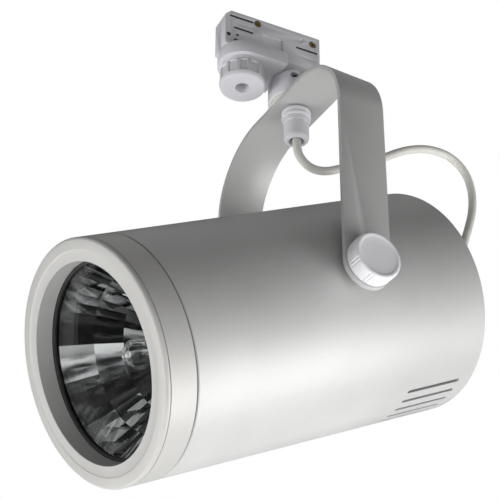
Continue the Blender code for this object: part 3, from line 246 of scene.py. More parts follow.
def grained(name, colour, patch, per_metre, roughness, height, fleck_share=0.2, metal=0.0):
    """A material whose colour, roughness and relief come from surface_grain; per_metre is (patches, grains)."""
    material = bpy.data.materials.new(name)
    material.use_nodes = True
    nodes, links = material.node_tree.nodes, material.node_tree.links
    shader = nodes["Principled BSDF"]
    shader.inputs["Metallic"].default_value = metal
    where = nodes.new("ShaderNodeTexCoord")
    grain = nodes.new("ShaderNodeGroup")
    grain.node_tree = skin
    links.new(where.outputs["Object"], grain.inputs["Vector"])
    grain.inputs["Colour"].default_value = (*colour, 1.0)
    grain.inputs["Patch Colour"].default_value = (*patch, 1.0)
    grain.inputs["Patches Per Metre"].default_value = per_metre[0]
    grain.inputs["Grains Per Metre"].default_value = per_metre[1]
    grain.inputs["Fleck"].default_value = fleck_share
    grain.inputs["Lowest Roughness"].default_value = roughness[0]
    grain.inputs["Highest Roughness"].default_value = roughness[1]
    grain.inputs["Grain Height"].default_value = height
    links.new(grain.outputs["Colour"], shader.inputs["Base Color"])
    links.new(grain.outputs["Roughness"], shader.inputs["Roughness"])
    links.new(grain.outputs["Normal"], shader.inputs["Normal"])
    return material


# Floor: a sheet of pale matt board, lit a little from within so that it stays pale. Gloss and glass
# don't show it.
floor_height, floor_half = -1.3, 6.0
pale_board = grained(
    "pale_board", (0.86, 0.86, 0.85), (0.82, 0.82, 0.81), (1.5, 220.0), (0.6, 0.75), 0.0001, 0.1
)
board_shader = pale_board.node_tree.nodes["Principled BSDF"]
board_shader.inputs["Emission Color"].default_value = white
board_shader.inputs["Emission Strength"].default_value = 0.55
board = bmesh.new()
bmesh.ops.create_grid(board, x_segments=8, y_segments=8, size=floor_half)
bmesh.ops.translate(board, verts=board.verts, vec=(0.0, 0.0, floor_height))
floor_mesh = bpy.data.meshes.new("floor")
board.to_mesh(floor_mesh)
floor_mesh.materials.append(pale_board)
floor = bpy.data.objects.new("floor", floor_mesh)
scene.collection.objects.link(floor)
floor.visible_glossy = False
floor.visible_transmission = False


# Flexible lead: three cores in a soft ivory silicone sheath, 6 mm over all. It leaves the grip under
# the yoke, makes one loop behind the housing and goes down through the bush of the rear cap.
millimetres = Matrix.Scale(0.001, 4)
pan_frame = Matrix.Translation((0.0, 0.0, -0.033)) @ Matrix.Rotation(radians(4.0), 4, "Z") @ millimetres
pivot_drop = 177.4
lead_route = [
    (0.0, 158.0), (0.0, 151.0), (0.5, 143.0), (3.0, 136.0), (8.5, 131.2), (16.0, 129.8), (25.0, 132.2),
    (36.0, 138.4), (49.0, 146.4), (62.0, 154.6), (75.3, 163.6), (86.0, 171.6), (97.4, 178.8),
    (110.6, 184.8), (123.8, 187.4), (135.2, 186.4), (144.8, 180.6), (150.8, 171.0), (153.0, 157.5),
    (151.4, 142.0), (147.0, 126.6), (142.0, 112.2), (138.4, 100.9), (134.9, 90.2), (131.2, 79.1),
    (126.6, 69.7), (119.8, 61.8),
]
lead_route += [(along * cos(rest_tilt), along * sin(rest_tilt)) for along in (122.3, 109.3, 97.3, 85.3)]
knots = [pan_frame @ Vector((0.0, behind, above - pivot_drop)) for behind, above in lead_route]
lead_path = []
for i in range(len(knots) - 1):
    p0, p1, p2, p3 = knots[max(i - 1, 0)], knots[i], knots[i + 1], knots[min(i + 2, len(knots) - 1)]
    for t in (0.0, 0.2, 0.4, 0.6, 0.8):
        bend = (2 * p0 - 5 * p1 + 4 * p2 - p3) * t**2 + (3 * p1 - p0 - 3 * p2 + p3) * t**3
        lead_path.append(0.5 * (2 * p1 + (p2 - p0) * t + bend))
lead_path.append(knots[-1])
lead_radius = 0.003


def skin_over(columns, closed=True):
    """One skin over columns of points: each column is joined to the next, and closed round if asked."""
    bm = bmesh.new()
    made = [[bm.verts.new(point) for point in column] for column in columns]
    for left, following in zip(made, made[1:]):
        count = len(left) if closed else len(left) - 1
        for i in range(count):
            j = (i + 1) % len(left)
            bm.faces.new((left[i], left[j], following[j], following[i]))
    return bm


def capped(bm):
    """Closes the open ends of a skin, after its doubles are merged."""
    bmesh.ops.remove_doubles(bm, verts=bm.verts, dist=1e-6)
    open_edges = [edge for edge in bm.edges if edge.is_boundary]
    if open_edges:
        bmesh.ops.holes_fill(bm, edges=open_edges)
    bmesh.ops.recalc_face_normals(bm, faces=bm.faces)
    return bm


def as_object(name, bm):
    """A new object that takes the shape over."""
    mesh = bpy.data.meshes.new(name)
    bm.to_mesh(mesh)
    bm.free()
    made = bpy.data.objects.new(name, mesh)
    scene.collection.objects.link(made)
    return made


def settle(made):
    """Applies the piece's modifiers, so that it is a plain mesh."""
    graph = bpy.context.evaluated_depsgraph_get()
    mesh = bpy.data.meshes.new_from_object(made.evaluated_get(graph))
    made.modifiers.clear()
    made.data = mesh
    return made


def finish_piece(made, place, material, bevel=0.0, sharp=32.0):
    """Eases the edges, puts the piece in its place and gives it its finish."""
    if bevel:
        eased = made.modifiers.new("eased_edges", "BEVEL")
        eased.width = bevel
        eased.segments = 2
        eased.limit_method = "ANGLE"
        eased.angle_limit = radians(35.0)
        settle(made)
    mesh = made.data
    mesh.transform(place)
    mesh.shade_smooth()
    mesh.set_sharp_from_angle(angle=radians(sharp))
    mesh.materials.clear()
    mesh.materials.append(material)
    return made


def other_finish(made, place, material, wanted):
    """Gives another finish to the faces whose middle, in the piece's own frame, is wanted."""
    finish = len(made.data.materials)
    made.data.materials.append(material)
    back = place.inverted()
    for face in made.data.polygons:
        if wanted(back @ face.center):
            face.material_index = finish


def belongs(made, body, slot, *nodes):
    """Says which body carries the piece and the CAD nodes that it stands in for; slot is not used."""
    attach(made, body)
    if nodes:
        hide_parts(*nodes)


rings = []
across = Vector((1.0, 0.0, 0.0))
for i, point in enumerate(lead_path):
    along = (lead_path[min(i + 1, len(lead_path) - 1)] - lead_path[max(i - 1, 0)]).normalized()
    across = (across - along * across.dot(along)).normalized()
    beside = along.cross(across)
    turn = [2 * pi * k / 20 for k in range(20)]
    rings.append([point + lead_radius * (cos(a) * across + sin(a) * beside) for a in turn])
lead_bm = skin_over(rings)
bmesh.ops.holes_fill(lead_bm, edges=[edge for edge in lead_bm.edges if edge.is_boundary])
bmesh.ops.recalc_face_normals(lead_bm, faces=lead_bm.faces)
silicone_sheath = grained(
    "silicone_sheath", (0.72, 0.71, 0.67), (0.65, 0.64, 0.60), (30.0, 1400.0), (0.42, 0.6), 0.00002
)
lead = finish_piece(as_object("lead", lead_bm), Matrix.Identity(4), silicone_sheath, sharp=60.0)
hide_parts("flex")
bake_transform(lead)


# Yoke: one flat steel strip, 34 x 3 mm, bent cold round a former, with rounded ends and pressed
# holes. Its edges are eased before it is sprayed the same satin silver as the housing.
satin_silver = grained(
    "satin_silver", (0.60, 0.60, 0.595), (0.52, 0.52, 0.515), (9.0, 1100.0), (0.36, 0.54), 0.00004, 0.45, 0.2
)
strip, thickness, yoke_half, bend_radius = 34.0, 3.0, 81.4, 52.0
half = strip / 2
pivot_hole, nipple_hole = 3.35, 5.3


def yoke_side():
    """(x, z, direction of the outer face in degrees, half width) from the rounded end up to the middle."""
    reach = yoke_half - thickness / 2
    bend = bend_radius - thickness / 2
    for step in range(1, 19):
        angle = radians(5.0 * step)
        yield reach, -pivot_drop - half * cos(angle), 0.0, half * sin(angle)
    for step in range(33):
        angle = 90.0 * step / 32
        x = reach - bend + bend * cos(radians(angle))
        yield x, -thickness / 2 - bend + bend * sin(radians(angle)), angle, half


stations = list(yoke_side())
stations += [(-x, z, 180.0 - angle, width) for x, z, angle, width in reversed(stations)]
rings = []
for x, z, angle, width in stations:
    out = Vector((cos(radians(angle)), 0.0, sin(radians(angle)))) * thickness / 2
    middle_line = Vector((x, 0.0, z))
    edge = Vector((0.0, width, 0.0))
    outer, inner = middle_line + out, middle_line - out
    rings.append([outer - edge, outer + edge, inner + edge, inner - edge])
yoke_bm = capped(skin_over(rings))


def rod(radius, low, high, axis="Z", centre=(0.0, 0.0), sides=48):
    """A round bar along an axis; centre is in the other two axes."""
    order = {"Z": (0, 1, 2), "X": (2, 0, 1), "Y": (0, 2, 1)}[axis]
    columns = []
    for level_at in (low, high):
        ring = []
        for k in range(sides):
            angle = 2 * pi * (k + 0.5) / sides
            flat = (centre[0] + radius * cos(angle), centre[1] + radius * sin(angle), level_at)
            ring.append(tuple(flat[i] for i in order))
        columns.append(ring)
    return capped(skin_over(columns))


def cut(made, bm, operation="DIFFERENCE"):
    """Takes a solid out of a piece, or joins it on."""
    tool = as_object("tool", bm)
    change = made.modifiers.new("cut", "BOOLEAN")
    change.operation = operation
    change.object = tool
    change.solver = "EXACT"
    settle(made)
    bpy.data.objects.remove(tool)
    return made


yoke_strip = as_object("yoke_strip", yoke_bm)
cut(yoke_strip, rod(pivot_hole, -90.0, 90.0, "X", (0.0, -pivot_drop)))
cut(yoke_strip, rod(nipple_hole, -5.0, 2.0))
finish_piece(yoke_strip, pan_frame, satin_silver, 0.45)
belongs(yoke_strip, "yoke", "satin_silver_paint", "yoke")


# Swivel: a flanged steel nipple passes through the bridge into the adapter's boss, with a nylon
# washer between them, so that the yoke turns. A collar nut and a cord grip, both moulded, close it below.
def turned_to(section, angle):
    """A section of (radius, height) points at an angle about the axis."""
    return [(r * cos(angle), r * sin(angle), z) for r, z in section]


def spun(section, steps=128, closed=True):
    """A section turned right round the axis."""
    bm = skin_over([turned_to(section, 2 * pi * k / steps) for k in range(steps + 1)], closed)
    bmesh.ops.remove_doubles(bm, verts=bm.verts, dist=1e-4)
    bmesh.ops.dissolve_degenerate(bm, edges=bm.edges, dist=1e-5)
    bmesh.ops.recalc_face_normals(bm, faces=bm.faces)
    return bm


def eased_section(section, ease, steps=3):
    """The closed section with each corner off the axis turned into a small round."""
    made = []
    for i, corner in enumerate(section):
        before, here, after = Vector(section[i - 1]), Vector(corner), Vector(section[(i + 1) % len(section)])
        if here.x < 1e-6:
            made.append(corner)
            continue
        reach = min(ease, (before - here).length / 2.2, (after - here).length / 2.2)
        first = here + (before - here).normalized() * reach
        last = here + (after - here).normalized() * reach
        for step in range(steps + 1):
            t = step / steps
            point = first * (1 - t) ** 2 + here * 2 * t * (1 - t) + last * t**2
            made.append((point.x, point.y))
    return made


zinc_plate = grained(
    "zinc_plate", (0.62, 0.62, 0.60), (0.50, 0.51, 0.52), (120.0, 2200.0), (0.26, 0.42), 0.00001, 0.3, 1.0
)
natural_nylon = grained(
    "natural_nylon", (0.78, 0.77, 0.72), (0.70, 0.69, 0.63), (60.0, 1500.0), (0.45, 0.6), 0.00002
)
nipple_section = [
    (3.7, -13.0), (5.0, -13.0), (5.0, 0.3), (9.0, 0.3), (9.0, 1.5), (8.0, 1.5), (8.0, 12.9), (6.3, 12.9),
    (6.3, 19.1), (8.0, 19.1), (8.0, 20.2), (3.7, 20.2),
]
nipple = as_object("flanged_nipple", spun(eased_section(nipple_section, 0.3), 64))
finish_piece(nipple, pan_frame, zinc_plate)
belongs(nipple, "yoke", "zinc_steel", "swivel_nipple")
washer_section = [(9.3, 0.3), (19.0, 0.3), (19.0, 1.5), (9.3, 1.5)]
washer = as_object("nylon_washer", spun(eased_section(washer_section, 0.25), 96))
finish_piece(washer, pan_frame, natural_nylon)
belongs(washer, "yoke", "natural_nylon", "swivel_washer")

moulded_grey = grained(
    "moulded_grey", (0.70, 0.70, 0.73), (0.64, 0.64, 0.67), (25.0, 1700.0), (0.36, 0.5), 0.000018, 0.25
)
moulded_white = grained(
    "moulded_white", (0.82, 0.815, 0.84), (0.76, 0.755, 0.785), (35.0, 1700.0), (0.32, 0.46), 0.000015, 0.2
)
collar_section = [
    (5.3, -3.3), (5.3, -10.5), (9.6, -10.5), (10.4, -9.7), (10.4, -8.4), (10.0, -8.0), (10.0, -6.6),
    (10.4, -6.2), (10.4, -4.2), (9.5, -3.3),
]
collar = as_object("grip_collar", spun(eased_section(collar_section, 0.35), 96))
finish_piece(collar, pan_frame, moulded_grey)
belongs(collar, "yoke", "light_grey_plastic", "cord_grip_collar")
bottom_round = [
    (5.5 + 3.4 * cos(radians(a)), -25.8 + 3.4 * sin(radians(a))) for a in range(0, -91, -10)
]
grip_section = [(5.5, -10.8), (8.9, -10.8), (8.9, -14.2), (8.5, -14.6), (8.5, -15.1), (8.9, -15.5), *bottom_round]
grip = as_object("grip_body", spun(grip_section, 96))
finish_piece(grip, pan_frame, moulded_grey)
belongs(grip, "yoke", "light_grey_plastic", "cord_grip")


# Track adapter: two moulded halves that fill the track, a flange with a round nose that seats under
# it, and a boss for the swivel. The halves carry slots for the contacts and the earth strip.
def eased_copy(node, name, bevel, material, body, slot_name, cuts=(), inside=()):
    """A CAD solid's own shape as a piece: doubles merged, flat faces joined, then its edges eased."""
    bm = bmesh.new()
    bm.from_mesh(frame["nodes"][node].data)
    bmesh.ops.remove_doubles(bm, verts=bm.verts, dist=2e-6)
    bmesh.ops.dissolve_limit(bm, angle_limit=radians(1.0), verts=bm.verts, edges=bm.edges)
    made = as_object(name, bm)
    made.data.transform(Matrix.Scale(1000.0, 4))
    for cutter in cuts:
        cut(made, cutter)
    finish_piece(made, millimetres, material, bevel, 34.0)
    if inside:
        other_finish(made, millimetres, *inside)
    belongs(made, body, slot_name, node)
    return made


def block(x, y, z):
    """A rectangular block from its (low, high) pairs."""
    bm = bmesh.new()
    bmesh.ops.create_cube(bm, size=1.0)
    size = (x[1] - x[0], y[1] - y[0], z[1] - z[0])
    centre = ((x[0] + x[1]) / 2, (y[0] + y[1]) / 2, (z[0] + z[1]) / 2)
    bmesh.ops.scale(bm, vec=size, verts=bm.verts)
    bmesh.ops.translate(bm, vec=centre, verts=bm.verts)
    return bm


side = 8.5  # the cover's outer face
cover_cuts = [
    block((side - 0.7, side + 1), (-50.5, -36.5), (21.2, 22.2)),
    block((side - 0.7, side + 1), (-1.5, 13.5), (9.4, 10.2)),
    rod(1.6, side - 2.6, side + 1, "X", (-57.6, 9.0), 24),
    rod(1.1, side - 2.6, side + 1, "X", (-50.6, 10.4), 24),
    rod(1.3, side - 0.5, side + 1, "X", (1.0, 25.2), 32),
]
# Painted shade: a near black laid on the pockets and bores inside the adapter's halves, so that the contact slots
# read dark.
painted_pocket_shade = grained(
    "painted_pocket_shade", (0.05, 0.05, 0.053), (0.08, 0.08, 0.083), (90.0, 1500.0), (0.6, 0.8), 0.00003
)


def pocket_shade_faces(at):
    """True in the pockets and bores inside the adapter's halves, which get a near black as painted shade."""
    in_depth = abs(at.x) < 7.55 and 1.2 < at.z < 31.2 and -59.9 < at.y < 15.2
    return in_depth and (at.y + 60.2) + (31.5 - at.z) > 4.9


eased_copy(
    "adapter_body", "adapter_moulding", 0.4, moulded_grey, "adapter", "light_grey_plastic",
    inside=(painted_pocket_shade, pocket_shade_faces),
)
eased_copy(
    "adapter_cover", "adapter_cover_moulding", 0.3, moulded_grey, "adapter", "light_grey_plastic", cover_cuts,
    (painted_pocket_shade, pocket_shade_faces),
)


# Screws: two cheese-headed brass screws hold the adapter's halves together, and a grub screw,
# painted black as the shade in its hole, stops the swivel from dropping out. Each head is turned, then
# struck with a cross recess.
def sockets_of(tree):
    """The modifier keys of a tree's inputs, by their labels."""
    return {s.name: s.identifier for s in tree.interface.items_tree if s.in_out == "INPUT"}


def copies_tree(name, sockets):
    """A tree that puts copies of a piece on points and gives them a finish, its inputs and its copier."""
    tree = bpy.data.node_groups.new(name, "GeometryNodeTree")
    for label, kind in (*sockets, ("Piece", "Object"), ("Finish", "Material")):
        tree.interface.new_socket(label, in_out="INPUT", socket_type="NodeSocket" + kind)
    tree.interface.new_socket("Pieces", in_out="OUTPUT", socket_type="NodeSocketGeometry")
    labelled = tree.nodes.new("NodeGroupInput").outputs
    master = tree.nodes.new("GeometryNodeObjectInfo")
    placed = tree.nodes.new("GeometryNodeInstanceOnPoints")
    real = tree.nodes.new("GeometryNodeRealizeInstances")
    coated = tree.nodes.new("GeometryNodeSetMaterial")
    for source, target in (
        (labelled["Piece"], master.inputs["Object"]),
        (master.outputs["Geometry"], placed.inputs["Instance"]),
        (placed.outputs["Instances"], real.inputs["Geometry"]),
        (real.outputs["Geometry"], coated.inputs["Geometry"]),
        (labelled["Finish"], coated.inputs["Material"]),
        (coated.outputs["Geometry"], tree.nodes.new("NodeGroupOutput").inputs["Pieces"]),
    ):
        tree.links.new(source, target)
    return tree, labelled, placed.inputs


at_points, labelled, copier = copies_tree("pieces_at_points", [("Points", "Geometry")])
at_points.links.new(labelled["Points"], copier["Points"])


def cross_recess(made, width, reach, top, deep):
    """Sinks a cross recess into a screw's head: one arm after the other, each narrower downwards."""
    for turn in (0.0, pi / 2):
        bm = bmesh.new()
        arm = bmesh.ops.create_cube(bm, size=1.0)["verts"]
        for vert in arm:
            low = vert.co.z < 0
            vert.co.x *= 2 * reach * (0.45 if low else 1.0)
            vert.co.y *= width * (0.7 if low else 1.0)
            vert.co.z = top - deep if low else top + 1.0
        bmesh.ops.rotate(bm, verts=arm, matrix=Matrix.Rotation(turn, 3, "Z"))
        cut(made, bm)


brass_section = [(0.0, 8.2), (2.3, 8.2), (2.7, 7.8), (2.7, 6.9), (1.4, 6.9), (1.4, -4.5), (0.0, -5.5)]
brass_screw = as_object("brass_screw", spun(eased_section(brass_section, 0.15), 48))
cross_recess(brass_screw, 0.95, 2.0, 8.2, 1.6)
brass_screw.data.transform(Matrix.Rotation(pi / 2, 4, "Y"))
dark_brass = grained(
    "dark_brass", (0.36, 0.23, 0.085), (0.2, 0.13, 0.05), (500.0, 3000.0), (0.35, 0.5), 0.00001, 0.3, 0.25
)
spots = bpy.data.meshes.new("screw_spots")
spots.from_pydata([(0.0, -34.7, 26.9), (0.0, 9.8, 24.6)], [], [])
cover_screws = bpy.data.objects.new("cover_screws", spots)
scene.collection.objects.link(cover_screws)
setting = cover_screws.modifiers.new("screws", "NODES")
setting.node_group = at_points
keys = sockets_of(at_points)
setting[keys["Piece"]] = brass_screw
setting[keys["Finish"]] = dark_brass
settle(cover_screws)
bpy.data.objects.remove(brass_screw)
finish_piece(cover_screws, millimetres, dark_brass)
belongs(cover_screws, "adapter", "brass", "cover_screw_front", "cover_screw_rear")
grub_section = [(0.0, 6.6), (1.5, 6.6), (2.6, 7.9), (2.6, 15.2), (2.2, 15.6), (0.0, 15.6)]
grub = as_object("grub_screw", spun(eased_section(grub_section, 0.2), 48))
cross_recess(grub, 0.8, 1.9, 15.6, 1.8)
grub_place = Matrix.Translation((0.0, 0.0, -0.017)) @ Matrix.Rotation(radians(-30.0), 4, "Z")
# Painted shade: the grub screw is near black so that the hole it sits in reads dark.
painted_hole_shade = grained(
    "painted_hole_shade", (0.03, 0.03, 0.032), (0.05, 0.05, 0.052), (300.0, 2500.0), (0.35, 0.5), 0.00001, 0.2, 1.0
)
finish_piece(grub, grub_place @ Matrix.Rotation(pi / 2, 4, "Y") @ millimetres, painted_hole_shade)
belongs(grub, "adapter", "zinc_steel", "swivel_grub_screw")


# Circuit selector: a moulded knob with twelve shallow finger pockets and a blind hole. It turns
# a steel shaft with the spring contacts and the locking cam, which swing out into the track.
round_axis, labelled, copier = copies_tree(
    "pieces_round_axis", [("Base", "Geometry"), ("Count", "Int"), ("First Turn", "Float"), ("Turn Each", "Float")]
)
points = round_axis.nodes.new("GeometryNodePoints")
number = round_axis.nodes.new("GeometryNodeInputIndex")
turned_by = round_axis.nodes.new("ShaderNodeMath")
turned_by.operation = "MULTIPLY_ADD"
upwards = round_axis.nodes.new("ShaderNodeCombineXYZ")
facing = round_axis.nodes.new("FunctionNodeEulerToRotation")
for source, target in (
    (labelled["Count"], points.inputs["Count"]),
    (number.outputs[0], turned_by.inputs[0]),
    (labelled["Turn Each"], turned_by.inputs[1]),
    (labelled["First Turn"], turned_by.inputs[2]),
    (turned_by.outputs[0], upwards.inputs["Z"]),
    (upwards.outputs[0], facing.inputs[0]),
    (points.outputs[0], copier["Points"]),
    (facing.outputs[0], copier["Rotation"]),
):
    round_axis.links.new(source, target)


def repeated(name, bm, count, turn_each, first_turn=0.0, material=None):
    """Copies of one shape about its Z axis, as one plain mesh with its doubles merged."""
    piece = as_object(name + "_one", bm)
    made = bpy.data.objects.new(name, bpy.data.meshes.new(name))
    scene.collection.objects.link(made)
    setting = made.modifiers.new("round", "NODES")
    setting.node_group = round_axis
    keys = sockets_of(round_axis)
    setting[keys["Piece"]] = piece
    setting[keys["Count"]] = count
    setting[keys["First Turn"]] = radians(first_turn)
    setting[keys["Turn Each"]] = radians(turn_each)
    setting[keys["Finish"]] = material
    settle(made)
    bpy.data.objects.remove(piece)
    joined = bmesh.new()
    joined.from_mesh(made.data)
    bmesh.ops.remove_doubles(joined, verts=joined.verts, dist=1e-4)
    bmesh.ops.recalc_face_normals(joined, faces=joined.faces)
    joined.to_mesh(made.data)
    joined.free()
    return made


def pocket_depth(turn):
    """Depth of the shallow pocket between two broad ribs, at an angle from its middle."""
    return 0.9 * max(0.0, min(1.0, (10.6 - abs(turn)) / 1.4))


columns = []
for step in range(31):
    turn = -15.0 + step
    deep = pocket_depth(turn)
    section = [
        (0.0, -29.0), (14.6, -29.0), (15.4, -28.75), (15.9, -28.2), (16.1, -26.6), (16.35, -26.0), (16.4, -25.6),
        (16.4 - deep * 0.1, -25.2), (16.4 - deep, -24.7), (16.3 - deep, -20.0), (15.9 - deep, -15.6),
        (15.7 - deep * 0.1, -15.0), (15.1, -14.2), (14.7, -13.9), (14.6, -13.2), (14.6, -11.1), (14.2, -10.7),
        (0.0, -10.7),
    ]
    columns.append(turned_to(section, radians(turn)))
knob = repeated("selector_grip", skin_over(columns, False), 12, 30.0, 8.0, moulded_grey)
cut(knob, rod(5.2, -30.0, -20.0, "Z", sides=64))
cut(knob, rod(3.5, -17.3, -9.7, "Z", sides=32))
finish_piece(knob, Matrix.Translation((0.0, -0.0424, 0.0)) @ millimetres, moulded_grey, 0.0, 38.0)
belongs(knob, "selector", "light_grey_plastic", "selector_knob")


# Tilt knobs: white moulded handwheels on steel studs, one outside each arm of the yoke. The face is
# slightly dished inside a round edge, and the rim has eight pairs of fine finger grooves.
pivot_frame = pan_frame @ Matrix.Translation((0.0, 0.0, -pivot_drop)) @ Matrix.Rotation(rest_tilt, 4, "X")


def groove_depth(turn):
    """Depth of the rim at an angle from the middle of a pair of grooves."""
    return 0.7 * max(0.0, cos(min(1.0, abs(abs(turn) - 4.0) / 2.2) * pi / 2)) ** 1.5


columns = []
for step in range(61):
    turn = -22.5 + 45.0 * step / 60
    deep = groove_depth(turn)
    section = [
        (0.0, 81.7), (15.2, 81.7), (15.9, 81.9), (16.3 - deep, 82.4), (16.5 - deep, 83.0), (16.5 - deep, 91.4),
        (16.3 - deep * 0.8, 92.2), (15.9 - deep * 0.3, 92.7), (15.2, 93.0), (14.6, 93.1), (14.0, 93.0), (13.5, 92.8),
        (13.1, 92.6), (12.6, 92.5), (8.0, 92.38), (3.0, 92.32), (0.0, 92.3),
    ]
    columns.append(turned_to(section, radians(turn)))
for side_name, side_turn in (("right", 0.0), ("left", pi)):
    handwheel = repeated("handwheel_" + side_name, skin_over(columns, False), 8, 45.0, 0.0, moulded_white)
    cut(handwheel, rod(3.3, 80.0, 89.9, "Z", sides=32))
    outwards = Matrix.Rotation(side_turn, 4, "Z") @ Matrix.Rotation(pi / 2, 4, "Y")
    finish_piece(handwheel, pivot_frame @ outwards, moulded_white, 0.0, 40.0)
    belongs(handwheel, "tilt_knob_" + side_name, "white_plastic", "tilt_knob_" + side_name)
    eased_copy(
        "pivot_spacer_" + side_name, "saddle_" + side_name, 0.25, natural_nylon, "head", "natural_nylon"
    )


# Housing: a drawn aluminium tube, 150 mm across with a 2 mm wall, sprayed satin silver. Seven vent
# slots are milled through its underside near the rear, and its front lip is chamfered.
head_frame = pivot_frame @ Matrix.Rotation(-pi / 2, 4, "X")
pivot_depth = 161.7


def behind_face(points):
    """(radius, depth behind the front face) points as heights on the head's axis."""
    return [(radius, value - pivot_depth) for radius, value in points]


def ring_of_slots(ends, radius, levels, placed_at, count, turn_each, first_turn):
    """The cutter of round-ended slots round the axis; ends are (middle of the round, start of its half turn)."""
    outline = []
    for (across_at, along_at), start in ends:
        for step in range(9):
            angle = radians(start + 22.5 * step)
            outline.append((across_at + radius * cos(angle), along_at + radius * sin(angle)))
    sides = [[placed_at(level, *point) for point in outline] for level in levels]
    bars = repeated("slots", capped(skin_over(sides)), count, turn_each, first_turn)
    cutter = bmesh.new()
    cutter.from_mesh(bars.data)
    bpy.data.objects.remove(bars)
    return cutter


tube_section = behind_face([
    (74.5, 22.8), (75.0, 23.3), (75.0, 256.2), (74.8, 256.8), (74.2, 257.0), (73.2, 257.0), (73.0, 256.8),
    (73.0, 22.8),
])
housing = as_object("silver_housing", spun(tube_section, 192))
vent_half, vent_length, vent_rear, vent_pitch = 1.35, 46.8, 245.0, 7.1
vent_ends = [
    ((0.0, vent_rear - vent_half - pivot_depth), 0.0),
    ((0.0, vent_rear - vent_length + vent_half - pivot_depth), 180.0),
]
cut(housing, ring_of_slots(
    vent_ends, vent_half, (70.0, 78.0), lambda level, x, z: (level, x, z), 7, vent_pitch, 90.0 - 3 * vent_pitch
))
cut(housing, rod(pivot_hole, -80.0, 80.0, "X"))
finish_piece(housing, head_frame, satin_silver, 0.0, 25.0)
# Painted shade: the tube's inner face is near black, standing for the shade inside the closed housing, so that the
# vent slots read dark.
painted_inner_shade = grained(
    "painted_inner_shade", (0.018, 0.018, 0.019), (0.03, 0.03, 0.03), (60.0, 1500.0), (0.55, 0.75), 0.00003
)
other_finish(housing, head_frame, painted_inner_shade, lambda at: at.xy.length < 73.1)
belongs(housing, "head", "satin_silver_paint", "housing_tube")


# Front ring: a die-cast ring sprayed a warmer silver, with a stepped face, one fine groove round the
# skirt and a bayonet at the back. It is turned 20 degrees to take it off when the lamp is changed.
ring_silver = grained(
    "ring_silver", (0.57, 0.565, 0.55), (0.50, 0.495, 0.48), (14.0, 1300.0), (0.36, 0.52), 0.00003, 0.4, 0.2
)
ring_section = behind_face([
    (60.8, 0.7), (61.1, 0.4), (67.3, 0.4), (67.6, 0.3), (67.9, 0.0), (73.4, 0.0), (74.0, 0.2), (74.7, 0.9),
    (75.0, 1.5), (75.0, 3.1), (74.9, 3.25), (74.1, 3.4), (74.1, 3.7), (74.9, 3.85), (75.0, 4.0), (75.0, 21.5),
    (74.5, 22.0), (72.4, 22.0), (72.4, 32.0), (67.1, 32.0), (67.1, 17.9), (65.1, 17.9), (65.1, 12.0),
    (60.8, 12.0),
])
front_ring = as_object("front_ring", spun(ring_section, 192))
finish_piece(front_ring, head_frame, ring_silver, 0.0, 28.0)
# Painted shade: the spigot behind the skirt is near black, so that the seam between the ring and the tube reads as a
# dark line.
other_finish(front_ring, head_frame, painted_inner_shade, lambda at: at.z > 22.05 - pivot_depth)
# Painted shade: the bore in front of the glass takes a darker grey than the ring, for the shade inside it.
painted_bore_shade = grained(
    "painted_bore_shade", (0.47, 0.47, 0.462), (0.41, 0.41, 0.403), (20.0, 1300.0), (0.5, 0.65), 0.00003, 0.3
)
other_finish(
    front_ring, head_frame, painted_bore_shade, lambda at: at.xy.length < 61.3 and at.z > 1.0 - pivot_depth
)
belongs(front_ring, "bezel", "satin_silver_paint", "front_bezel")


# Front glass: a disc of clear toughened glass with a ground edge, held against a black silicone
# gasket by a wire-formed spring ring. The glass carries a faint bloom of handling.
def see_through(name, smudges_per_metre, roughness, tint):
    """Clear glass with a smudged gloss, that lets the lamps' light through."""
    material = bpy.data.materials.new(name)
    material.use_nodes = True
    nodes, links = material.node_tree.nodes, material.node_tree.links
    shader = nodes["Principled BSDF"]
    shader.inputs["Transmission Weight"].default_value = 1.0
    shader.inputs["IOR"].default_value = 1.5
    bloom = nodes.new("ShaderNodeGroup")
    bloom.node_tree = skin
    links.new(nodes.new("ShaderNodeTexCoord").outputs["Object"], bloom.inputs["Vector"])
    bloom.inputs["Colour"].default_value = (*tint, 1.0)
    bloom.inputs["Patch Colour"].default_value = (*(0.97 * part for part in tint), 1.0)
    bloom.inputs["Patches Per Metre"].default_value = smudges_per_metre
    bloom.inputs["Grains Per Metre"].default_value = smudges_per_metre * 3
    bloom.inputs["Lowest Roughness"].default_value = roughness[0]
    bloom.inputs["Highest Roughness"].default_value = roughness[1]
    bloom.inputs["Grain Height"].default_value = 0.000002
    links.new(bloom.outputs["Colour"], shader.inputs["Base Color"])
    links.new(bloom.outputs["Roughness"], shader.inputs["Roughness"])
    links.new(bloom.outputs["Normal"], shader.inputs["Normal"])
    clear = nodes.new("ShaderNodeBsdfTransparent")
    route = nodes.new("ShaderNodeLightPath")
    passed = nodes.new("ShaderNodeMixShader")
    links.new(route.outputs["Is Shadow Ray"], passed.inputs[0])
    links.new(shader.outputs[0], passed.inputs[1])
    links.new(clear.outputs[0], passed.inputs[2])
    links.new(passed.outputs[0], nodes["Material Output"].inputs["Surface"])
    return material


toughened = see_through("toughened_glass_clear", 25.0, (0.0, 0.02), (0.97, 0.99, 0.98))
glass_section = behind_face([(0.0, 14.2), (64.0, 14.2), (64.5, 14.7), (64.5, 17.2), (64.0, 17.7), (0.0, 17.7)])
disc = as_object("glass_disc", spun(glass_section, 160, False))
finish_piece(disc, head_frame, toughened)
belongs(disc, "bezel", "toughened_glass", "front_glass")
black_silicone = grained(
    "silicone_black", (0.020, 0.020, 0.021), (0.035, 0.035, 0.035), (80.0, 1800.0), (0.5, 0.7), 0.00002
)
gasket_section = behind_face([(58.8, 12.5), (59.0, 12.3), (64.3, 12.3), (64.5, 12.5), (64.5, 13.9), (58.8, 13.9)])
gasket = as_object("flat_gasket", spun(gasket_section, 160))
finish_piece(gasket, head_frame, black_silicone)
belongs(gasket, "bezel", "black_silicone", "glass_gasket")


